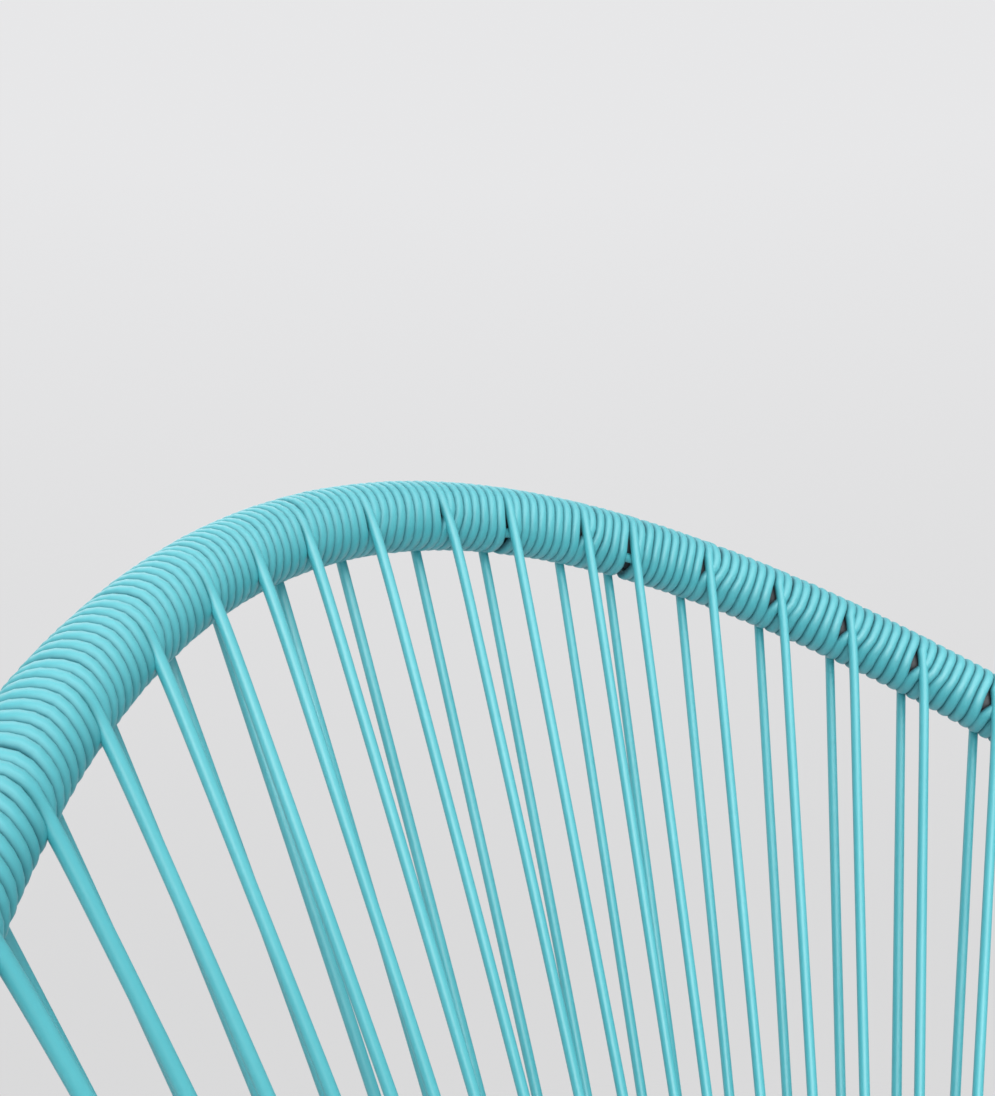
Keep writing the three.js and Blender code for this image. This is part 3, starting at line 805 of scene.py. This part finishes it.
def add_vee(cord, vee):
    """From the rim's front to the ring, round its inner side and back to the rim's rear."""
    reach = RING_RADIUS + TOUCH_GAP + CORD_RADIUS
    angles = np.linspace(0, math.pi, HOOK_STEPS + 1)
    places = vee.front + (vee.rear - vee.front + TURN_PITCH / 2) * angles / math.pi
    hook = wrap_points(places, angles, reach, RING)
    hook_out = unit(hook - wrap_points(places, angles, 0.0, RING))
    wrap = RIM_RADIUS + TOUCH_GAP + CORD_RADIUS
    leaving_bow = LEAVING_BOW * bow(vee.top, -LEAVING_ANGLE)
    for place, lean, angle, end, end_out, way in (
        (vee.front, vee.top - vee.front - leaving_bow, -LEAVING_ANGLE, hook[0], hook_out[0], 1),
        (vee.rear, 0.0, math.pi + LEAVING_ANGLE, hook[-1], hook_out[-1], -1),
    ):
        centre, along = frames(place, RIM)[:2]
        top = wrap_points(place, angle, wrap, RIM)
        points, runs = strand(top, end)
        points = points + lean * np.exp(-runs / LEAN_RUN)[:, None] * along
        shares = (runs / runs[-1])[:, None]
        outward = unit(unit(top - centre) * (1 - shares) + end_out * shares)
        pressed = PRESSED_START * np.clip(1 - runs / PRESSED_RUN, 0, 1)
        if way > 0:
            cord.add(points[1:], outward[1:], STRAND_RADIUS, pressed[1:])
            cord.add(hook[1:-1], hook_out[1:-1], STRAND_RADIUS, 0.0)
        else:
            cord.add(points[:0:-1], outward[:0:-1], STRAND_RADIUS, pressed[:0:-1])


def strand(start, end):
    """Points of a straight stretch and their distance from its start, close together at both ends."""
    length = np.linalg.norm(end - start)
    near = np.linspace(0, NEAR_RUN, NEAR_STEPS)
    far = np.linspace(NEAR_RUN, length - CORNER_RUN, FAR_STEPS)[1:]
    runs = np.concatenate([near, far, [length]])
    return start + (end - start) * (runs / length)[:, None], runs


def cord_section(points, outward, widths, pressed):
    """Rings of points round the cord, round on a strand and squared where turns press together,
    and how deep in the groove between two turns each point lies."""
    tangents = path_tangents(points, True)
    outward = unit(outward - np.sum(outward * tangents, axis=-1, keepdims=True) * tangents)
    across = np.cross(tangents, outward)
    angles = 2 * math.pi * np.arange(CORD_SIDES) / CORD_SIDES - math.pi / 2
    power = (2 / (2 + (PRESSED_POWER - 2) * pressed))[:, None]
    wide = np.sign(np.cos(angles)) * np.abs(np.cos(angles)) ** power
    high = np.sign(np.sin(angles)) * np.abs(np.sin(angles)) ** power
    half_width = (STRAND_RADIUS + (widths * PRESSED_OVERLAP - STRAND_RADIUS) * pressed)[:, None]
    half_height = (STRAND_RADIUS + (CORD_RADIUS - STRAND_RADIUS) * pressed)[:, None]
    rings = (
        points[:, None, :]
        + (wide * half_width)[..., None] * across[:, None, :]
        + (high * half_height)[..., None] * outward[:, None, :]
    )
    from_side = np.arcsin(np.abs(np.sin(angles)))
    return rings, np.clip(1 - from_side / GROOVE_ANGLE, 0, 1) * pressed[:, None]


def add_cord():
    """The whole cord, once round the rim with all its vees."""
    random = np.random.default_rng(SEED)
    rows = vees()
    cord = CordPath()
    for vee, after in zip(rows[:-1], rows[1:]):
        add_vee(cord, vee)
        add_turns(cord, vee, after, random)
    points, outward, widths, pressed = cord.joined()
    rings, grooves = cord_section(points, outward, widths, pressed)
    lengths = path_lengths(points, True)
    print("cord length", round(float(lengths[-1]), 2), "points", len(points))
    faces, uvs = skin(rings, lengths, True)
    nodes = [name for name in sorted(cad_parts) if name.startswith("cord_")]
    piece = mesh_object("pvc_cord", rings.reshape(-1, 3), faces, PVC, uvs)
    # The groove depth drives painted shade in the cord's colour and a rougher finish in the grooves
    piece.data.attributes.new("groove", "FLOAT", "POINT").data.foreach_set("value", grooves.ravel())
    finish_piece(piece, "pvc_cord", *nodes)


def add_tails():
    """The cord's two ends, laid along the rim under the turns and seen in two slots."""
    for index in TAIL_SLOTS:
        middle = SEEN_FRONT_PLACES[index]
        places = np.linspace(middle - TAIL_REACH, middle + TAIL_REACH, TAIL_STEPS)
        path = wrap_points(places, np.full(len(places), TAIL_ANGLE), TAIL_RADIAL, RIM)
        path, radii = rounded_ends(path, STRAND_RADIUS, STRAND_RADIUS * TAIL_ROUND_SHARE)
        finish_piece(tube_piece("cord_tail_%d" % index, path, radii, CORD_SIDES, PVC), "pvc_cord")


# Rim and ring


def add_rim_and_ring():
    for node, make_points, radius, steps in (
        ("rim_tube", rim_points, RIM_RADIUS, RIM_STEPS),
        ("inner_ring", ring_points, RING_RADIUS, RING_STEPS),
    ):
        points = make_points(np.linspace(0, 2 * math.pi, steps, endpoint=False))
        tube = tube_piece(node + "_smooth", points, radius, TUBE_SIDES, STEEL, closed=True)
        finish_piece(tube, "frame_steel", node)


# Knees


# Where each piece starts along the bolt, from the middle of the tab
BOLT_STACK = {
    "bolt": -TAB_THICKNESS / 2 - SEAT_GAP,
    "spacer": TAB_THICKNESS / 2 + SEAT_GAP,
    "hoop": TAB_THICKNESS / 2 + 2 * SEAT_GAP + SPACER_LENGTH + HOOP_RADIUS,
}
BOLT_STACK["washer"] = BOLT_STACK["hoop"] + HOOP_RADIUS + SEAT_GAP
BOLT_STACK["nut"] = BOLT_STACK["washer"] + WASHER_THICKNESS + SEAT_GAP
BOLT_STACK["end"] = BOLT_STACK["nut"] + NUT_HEIGHT + BOLT_END_RUN


def knee_of(name, place, foot):
    """The frame of a knee on the right side: the bolt stands square to the hoop's bend."""
    centre, rim_tangent, _, front = frames(place, RIM)
    ring_centre, ring_tangent, ring_down, ring_front = frames(place + TAB_SHIFT, RING)
    cradle_end = ring_centre - ring_front * CRADLE_DROP
    foot = np.array(foot)
    tangent = rim_tangent
    for _ in range(PASSES):
        middle = centre - front * KNEE_DROP + tangent * BOLT_STACK["hoop"]
        tangent = unit(np.cross(foot - middle, cradle_end - middle))
        if float(tangent @ rim_tangent) < 0:
            tangent = -tangent
    away = unit(front - tangent * float(front @ tangent))
    hole = centre - away * KNEE_DROP
    return {
        "name": name,
        "centre": centre,
        "tangent": tangent,
        "front": away,
        "down": np.cross(tangent, away),
        "hole": hole,
        "middle": hole + tangent * BOLT_STACK["hoop"],
        "foot": foot,
        "cradle_end": cradle_end,
        "ring_centre": ring_centre,
        "ring_tangent": ring_tangent,
        "ring_down": ring_down,
        "ring_front": ring_front,
    }


def left_knee(knee, name):
    other = {key: value if key == "name" else mirrored(value) for key, value in knee.items()}
    other["name"] = name
    return other


def tab_outline(angle):
    """Distance from the bolt hole to the edge of a tab, with 0 pointing away from the rim."""
    x, y = math.sin(angle), math.cos(angle)
    if y >= 0:
        return TAB_HALF_WIDTH
    side = TAB_HALF_WIDTH / abs(x) if x else math.inf
    half = KNEE_DROP * abs(y)
    inside = half * half - (KNEE_DROP**2 - (RIM_RADIUS - SEAT_GAP) ** 2)
    rim = half - math.sqrt(inside) if inside > 0 else math.inf
    return min(side, rim)


def tab_angles():
    corner = math.atan2(TAB_HALF_WIDTH, KNEE_DROP - math.sqrt(RIM_RADIUS**2 - TAB_HALF_WIDTH**2))
    outer = np.linspace(-math.pi / 2, math.pi / 2, TAB_ARC_STEPS + 1)
    sides = np.linspace(math.pi / 2, math.pi - corner, TAB_SIDE_STEPS + 1)[1:]
    end = np.linspace(math.pi - corner, math.pi + corner, TAB_END_STEPS + 1)[1:]
    other = np.linspace(math.pi + corner, 3 * math.pi / 2, TAB_SIDE_STEPS + 1)[1:-1]
    return np.concatenate([outer, sides, end, other])


def add_tab(knee):
    """A plate with a hole, its edges rounded."""
    angles = tab_angles()
    half, shoulder = TAB_THICKNESS / 2, TAB_ROUNDING * ROUND_SHARE
    # Height of each row, and its distance inside the outline, with none at the hole
    rings = [(half, None), (half, TAB_ROUNDING), (half - shoulder, shoulder), (half - TAB_ROUNDING, 0.0)]
    rings += [(-height, inset) for height, inset in reversed(rings)]
    points = []
    for height, inset in rings:
        for angle in angles:
            reach = BOLT_HOLE_RADIUS if inset is None else tab_outline(angle) - inset
            points.append((reach * math.sin(angle), reach * math.cos(angle), height))
    shape = knee["hole"] + np.array(points) @ [knee["down"], -knee["front"], knee["tangent"]]
    faces = band_faces(len(rings), len(angles), True)
    tab = sharpened(mesh_object("tab_" + knee["name"], shape, faces, STEEL))
    finish_piece(tab, "frame_steel", "rim_tab_" + knee["name"])


def add_tab_welds(knee):
    """Rippled beads where the tab meets the rim, on both faces."""
    spread = math.asin(TAB_HALF_WIDTH / RIM_RADIUS) - WELD_MARGIN
    for side in (1, -1):
        angles = np.linspace(-spread, spread, WELD_STEPS)
        reach = RIM_RADIUS + WELD_STANDING
        offset = side * (TAB_THICKNESS / 2 + WELD_STANDING)
        across = reach * np.stack([-np.cos(angles), np.sin(angles)], axis=1)
        points = knee["centre"] + across @ [knee["front"], knee["down"]] + offset * knee["tangent"]
        name = "weld_tab_" + knee["name"] + ("_a" if side > 0 else "_b")
        finish_piece(weld_bead(name, points), "frame_steel")


def weld_bead(name, points):
    runs = np.concatenate([[0], np.cumsum(np.linalg.norm(np.diff(points, axis=0), axis=1))])
    ripple = 1 + WELD_RIPPLE * np.abs(np.sin(math.pi * runs / WELD_RIPPLE_RUN))
    ends = np.clip(np.minimum(runs, runs[-1] - runs) / WELD_RADIUS, WELD_END_SHARE, 1)
    return tube_piece(name, points, WELD_RADIUS * ripple * np.sqrt(ends), WELD_SIDES, STEEL)


def thread(angle, radius, height):
    """A thread on the last stretch of the bolt."""
    from_end = (BOLT_STACK["end"] - BOLT_STACK["bolt"]) - height
    if radius < BOLT_RADIUS or from_end > THREAD_RUN or height <= 0:
        return radius
    phase = (height / THREAD_PITCH - angle / (2 * math.pi)) % 1
    return radius - THREAD_DEPTH * (1 - abs(2 * phase - 1))


def add_turned(kind, knee, turning, material, slot):
    """A turned piece at its place along a knee's bolt."""
    points, faces = turning
    origin = knee["hole"] + knee["tangent"] * BOLT_STACK[kind]
    name = kind + "_smooth_" + knee["name"]
    piece = mesh_object(name, placed(points, origin, knee["tangent"]), faces, material)
    finish_piece(sharpened(piece), slot, kind + "_" + knee["name"])


def hexagon(angle, half_flats):
    """Distance from the middle of a hexagon to its edge."""
    return half_flats / math.cos((angle + math.pi / 6) % (math.pi / 3) - math.pi / 6)


def add_bolt(knee):
    """A button head with a hexagon socket, a plain shank and a threaded end."""
    shank = BOLT_STACK["end"] - BOLT_STACK["bolt"]
    top = -BOLT_HEAD_HEIGHT
    profile = [(AXIS_GAP, top + SOCKET_DEPTH), (SOCKET_RADIUS, top + SOCKET_DEPTH)]
    profile += [(SOCKET_RADIUS, top + SOCKET_BEVEL_DEPTH), (SOCKET_RADIUS + SOCKET_BEVEL, top)]
    for bend in np.linspace(BOLT_HEAD_START, math.pi / 2, BOLT_HEAD_STEPS + 1):
        height = top * BOLT_HEAD_CROWN_SHARE * math.cos(bend) - BOLT_HEAD_BRIM
        profile.append((BOLT_HEAD_RADIUS * math.sin(bend), height))
    profile += [(BOLT_HEAD_RADIUS - BOLT_HEAD_BRIM, 0.0), (BOLT_RADIUS, 0.0)]
    steps = int(THREAD_RUN / THREAD_PITCH * THREAD_STEPS) + 1
    for height in np.linspace(shank - THREAD_RUN, shank - BOLT_END_BEVEL, steps):
        profile.append((BOLT_RADIUS, height))
    profile += [(BOLT_RADIUS - BOLT_END_NARROWING, shank), (AXIS_GAP, shank)]

    def shape(angle, radius, height):
        if radius == SOCKET_RADIUS:
            return hexagon(angle, radius * math.cos(math.pi / 6))
        return thread(angle, radius, height)

    add_turned("bolt", knee, open_turning(profile, BOLT_SIDES, shape), ZINC, "zinc_hardware")


def collar_profile(inner, outer, height, rounding):
    shoulder = rounding * ROUND_SHARE
    lower = [(inner, rounding), (inner + rounding, 0.0), (outer - rounding, 0.0)]
    lower += [(outer - shoulder, shoulder), (outer, rounding)]
    return lower + [(radius, height - level) for radius, level in reversed(lower)]


def add_collar(kind, knee, outer, height, rounding, material, slot):
    profile = collar_profile(BOLT_HOLE_RADIUS, outer, height, rounding)
    add_turned(kind, knee, surface_of_turning(profile, COLLAR_SIDES), material, slot)


def add_nut(knee):
    """A hexagon with the arcs that its chamfer cuts."""
    across_corners = NUT_HALF_FLATS / math.cos(math.pi / 6)

    def shape(angle, radius, height):
        if radius < NUT_HALF_FLATS:
            return radius
        from_face = min(height, NUT_HEIGHT - height)
        chamfer = NUT_HALF_FLATS * NUT_FACE_SHARE + from_face * NUT_CHAMFER_SLOPE
        return min(hexagon(angle, NUT_HALF_FLATS), chamfer)

    levels = NUT_LEVELS + [NUT_HEIGHT / 2] + [NUT_HEIGHT - level for level in reversed(NUT_LEVELS)]
    mouth = BOLT_HOLE_RADIUS + NUT_MOUTH
    profile = [(BOLT_HOLE_RADIUS, NUT_MOUTH), (mouth, 0.0)]
    profile += [(across_corners, level) for level in levels]
    profile += [(mouth, NUT_HEIGHT), (BOLT_HOLE_RADIUS, NUT_HEIGHT - NUT_MOUTH)]
    add_turned("nut", knee, surface_of_turning(profile, NUT_SIDES, shape), ZINC, "zinc_hardware")


def add_knee(knee):
    add_tab(knee)
    add_tab_welds(knee)
    add_bolt(knee)
    add_nut(knee)
    spacer = (SPACER_RADIUS, SPACER_LENGTH, SPACER_ROUNDING)
    washer = (WASHER_RADIUS, WASHER_THICKNESS, WASHER_ROUNDING)
    add_collar("spacer", knee, *spacer, PLASTIC, "black_plastic")
    add_collar("washer", knee, *washer, ZINC, "zinc_hardware")


# Leg hoops


def bend_corner(middle, first, second, radius):
    """The corner whose rounded bend passes through the middle point."""
    corner = middle
    for _ in range(PASSES):
        to_first, to_second = unit(first - corner), unit(second - corner)
        half = math.acos(float(to_first @ to_second)) / 2
        corner = middle - unit(to_first + to_second) * radius * (1 / math.sin(half) - 1)
    return corner


def bend_points(before, corner, after, radius, steps):
    arriving, leaving = unit(corner - before), unit(after - corner)
    turn = math.acos(float(arriving @ leaving))
    start = corner - arriving * radius * math.tan(turn / 2)
    inward = unit(leaving - arriving * float(leaving @ arriving))
    angles = np.linspace(0, turn, steps + 1)[:, None]
    return start + arriving * radius * np.sin(angles) + inward * radius * (1 - np.cos(angles))


def with_runs(points, longest):
    """The same path with its long straight runs cut up."""
    path = [points[0]]
    for point in points[1:]:
        count = max(1, int(np.linalg.norm(point - path[-1]) / longest))
        start = path[-1]
        path += [start + (point - start) * (part + 1) / count for part in range(count)]
    return np.array(path)


def hoop_path(knee):
    cradle_end = knee["cradle_end"]
    cradle = bend_corner(cradle_end, knee["middle"], mirrored(cradle_end), CRADLE_BEND_RADIUS)
    corner = bend_corner(knee["middle"], knee["foot"], cradle, KNEE_BEND_RADIUS)
    rise = knee["foot"] + unit(corner - knee["foot"]) * (CAP_FLOOR + SEAT_GAP)
    bends = [
        bend_points(knee["foot"], corner, cradle, KNEE_BEND_RADIUS, KNEE_STEPS),
        bend_points(corner, cradle, mirrored(cradle), CRADLE_BEND_RADIUS, CRADLE_STEPS),
    ]
    half = np.vstack([[rise], *bends])
    return with_runs(np.vstack([half, (half * [-1, 1, 1])[::-1]]), LONGEST_RUN), rise


def add_cap(name, end, up):
    """A cup on the end of a leg, with two ribs, cut level with the floor."""
    inner = HOOP_RADIUS + SEAT_GAP
    outer = inner + CAP_WALL
    profile = [(AXIS_GAP, -CAP_FLOOR - outer), (outer, -CAP_FLOOR - outer)]
    for level in CAP_RIB_LEVELS:
        for along, height in ((-1, 0), (-0.5, 1), (0.5, 1), (1, 0)):
            profile.append((outer + height * CAP_RIB_HEIGHT, level + along * CAP_RIB_HALF_WIDTH))
    for turn in np.linspace(0, math.pi / 2, CAP_ROUND_STEPS + 1):
        reach = outer - CAP_ROUND * (1 - math.cos(turn))
        profile.append((reach, CAP_HEIGHT - CAP_ROUND * (1 - math.sin(turn))))
    profile += [(inner + CAP_BEVEL, CAP_HEIGHT), (inner, CAP_HEIGHT - CAP_BEVEL)]
    profile += [(inner, -SEAT_GAP), (AXIS_GAP, -SEAT_GAP)]
    points, faces = open_turning(profile, CAP_SIDES)
    cap = mesh_object("cap_" + name, placed(points, end, up), faces, PLASTIC)
    cut = bmesh.new()
    cut.from_mesh(cap.data)
    everything = cut.verts[:] + cut.edges[:] + cut.faces[:]
    bmesh.ops.bisect_plane(cut, geom=everything, plane_co=(0, 0, 0), plane_no=(0, 0, 1), clear_inner=True)
    bmesh.ops.holes_fill(cut, edges=[edge for edge in cut.edges if edge.is_boundary])
    cut.to_mesh(cap.data)
    cut.free()
    finish_piece(sharpened(cap), "black_plastic", "foot_cap_" + name)


def add_gusset(knee):
    """A short flat bar from the ring to the hoop, its long edges rounded."""
    away = -knee["ring_front"]
    from_ring = RING_RADIUS * GUSSET_RING_SHARE
    start = knee["ring_centre"] + knee["ring_down"] * GUSSET_INSET + away * from_ring
    length = CRADLE_DROP - HOOP_RADIUS * GUSSET_HOOP_SHARE - from_ring
    half = np.array([GUSSET_WIDTH / 2, GUSSET_THICKNESS / 2])
    outline = []
    for quarter, corner in enumerate(((1, 1), (-1, 1), (-1, -1), (1, -1))):
        for turn in np.linspace(quarter, quarter + 1, GUSSET_ROUND_STEPS + 1) * math.pi / 2:
            round_part = GUSSET_ROUNDING * np.array([math.cos(turn), math.sin(turn)])
            outline.append((half - GUSSET_ROUNDING) * corner + round_part)
    section = start + np.array(outline) @ [knee["ring_down"], knee["ring_tangent"]]
    levels = np.linspace(0, length, GUSSET_ROWS)
    points = np.vstack([section + away * level for level in levels])
    faces = band_faces(GUSSET_ROWS, len(outline), False) + end_faces(GUSSET_ROWS, len(outline))
    bar = sharpened(mesh_object("gusset_" + knee["name"], points, faces, STEEL))
    finish_piece(bar, "frame_steel", "ring_gusset_" + knee["name"])


def add_hoop(name, knees):
    path, rise = hoop_path(knees[0])
    hoop = tube_piece(name + "_hoop_smooth", path, HOOP_RADIUS, TUBE_SIDES, STEEL)
    finish_piece(sharpened(hoop), "frame_steel", name + "_leg_hoop")
    up = unit(path[1] - path[0])
    add_cap(knees[0]["name"], rise, up)
    add_cap(knees[1]["name"], mirrored(rise), mirrored(up))
    for knee in knees:
        add_gusset(knee)


# Studio and camera


def stage_material():
    """Pale floor that keeps the shadow near the chair and turns into an even pale wall."""
    material, tree, shader = node_material("studio_pale", 0.9)
    specks = noise(tree, coordinates(tree), scale=240.0, detail=2.0)
    floor = colour_ramp(tree, specks, [(0.3, (0.54, 0.54, 0.545)), (0.7, (0.565, 0.565, 0.57))])
    tree.links.new(floor, shader.inputs["Base Color"])
    geometry = tree.nodes.new("ShaderNodeNewGeometry")
    split = tree.nodes.new("ShaderNodeSeparateXYZ")
    tree.links.new(geometry.outputs["Position"], split.inputs["Vector"])
    height = number_range(tree, split.outputs["Z"], 0.0, 1.0, end=WALL_FADE_HEIGHT)
    wall = colour_ramp(tree, height, [(0.0, (0.70, 0.70, 0.705)), (1.0, (0.80, 0.80, 0.81))])
    glow = tree.nodes.new("ShaderNodeEmission")
    tree.links.new(wall, glow.inputs["Color"])
    distance = tree.nodes.new("ShaderNodeVectorMath")
    distance.operation = "LENGTH"
    tree.links.new(geometry.outputs["Position"], distance.inputs[0])
    far = number_range(tree, distance.outputs["Value"], 0.0, 1.0, GLOW_START, GLOW_FULL, smooth=True)
    rays = tree.nodes.new("ShaderNodeLightPath").outputs
    seen = calculated(tree, "MAXIMUM", rays["Is Camera Ray"], rays["Is Glossy Ray"])
    seen = calculated(tree, "MAXIMUM", seen, rays["Is Transmission Ray"])
    mix = tree.nodes.new("ShaderNodeMixShader")
    tree.links.new(calculated(tree, "MULTIPLY", seen, far), mix.inputs["Fac"])
    tree.links.new(shader.outputs["BSDF"], mix.inputs[1])
    tree.links.new(glow.outputs["Emission"], mix.inputs[2])
    tree.links.new(mix.outputs["Shader"], tree.nodes["Material Output"].inputs["Surface"])
    return material


def add_stage():
    """A round floor that curves up into a wall, with the chair in its middle."""
    profile = [(radius, 0.0) for radius in np.linspace(FLOOR_MIDDLE_RADIUS, FLOOR_RADIUS, STAGE_STEPS)]
    for turn in np.linspace(0, math.pi / 2, STAGE_STEPS + 1)[1:]:
        profile.append((FLOOR_RADIUS + COVE_RADIUS * math.sin(turn), COVE_RADIUS * (1 - math.cos(turn))))
    profile.append((FLOOR_RADIUS + COVE_RADIUS, WALL_HEIGHT))
    points, faces = open_turning(profile, STAGE_SIDES)
    mesh_object("studio", points, faces[:-1], stage_material())


def add_light(name, place, size, power, colour):
    light = bpy.data.lights.new(name, "AREA")
    light.shape = "DISK"
    light.size = size
    light.energy = power
    light.color = colour
    lamp = bpy.data.objects.new(name, light)
    lamp.location = place
    lamp.rotation_mode = "QUATERNION"
    lamp.rotation_quaternion = (Vector(LAMP_TARGET) - Vector(place)).to_track_quat("-Z", "Y")
    bpy.context.scene.collection.objects.link(lamp)


def add_lights():
    for name, lamp in LAMPS.items():
        add_light(name, *lamp)
    world = bpy.data.worlds.new("studio_air")
    world.use_nodes = True
    background = world.node_tree.nodes["Background"]
    background.inputs["Color"].default_value = WORLD_COLOUR
    background.inputs["Strength"].default_value = WORLD_STRENGTH
    bpy.context.scene.world = world


def add_camera():
    """The camera that was fitted to the photograph."""
    yaw, pitch, roll = CAMERA_YAW, CAMERA_PITCH, CAMERA_ROLL
    ahead = Vector((math.sin(yaw) * math.cos(pitch), math.cos(yaw) * math.cos(pitch), math.sin(pitch)))
    level = Vector((math.cos(yaw), -math.sin(yaw), 0.0))
    above = level.cross(ahead)
    right = level * math.cos(roll) + above * math.sin(roll)
    up = above * math.cos(roll) - level * math.sin(roll)
    data = bpy.data.cameras.new("camera")
    data.lens = CAMERA_LENS
    data.sensor_width = SENSOR_SIZE
    data.clip_start = CAMERA_NEAR
    camera = bpy.data.objects.new("camera", data)
    turn = Matrix((right, up, -ahead)).transposed()
    camera.matrix_world = Matrix.Translation(CAMERA_PLACE) @ turn.to_4x4()
    bpy.context.scene.collection.objects.link(camera)
    bpy.context.scene.camera = camera


front_right = knee_of("front_right", FRONT_TAB_PLACE, FRONT_FOOT)
rear_right = knee_of("rear_right", REAR_TAB_PLACE, REAR_FOOT)
front_knees = [front_right, left_knee(front_right, "front_left")]
rear_knees = [rear_right, left_knee(rear_right, "rear_left")]

add_camera()
add_cord()
add_tails()
add_rim_and_ring()
for knee in front_knees + rear_knees:
    add_knee(knee)
add_hoop("front", front_knees)
add_hoop("rear", rear_knees)
add_stage()
add_lights()
bpy.context.scene.view_settings.view_transform = "Standard"
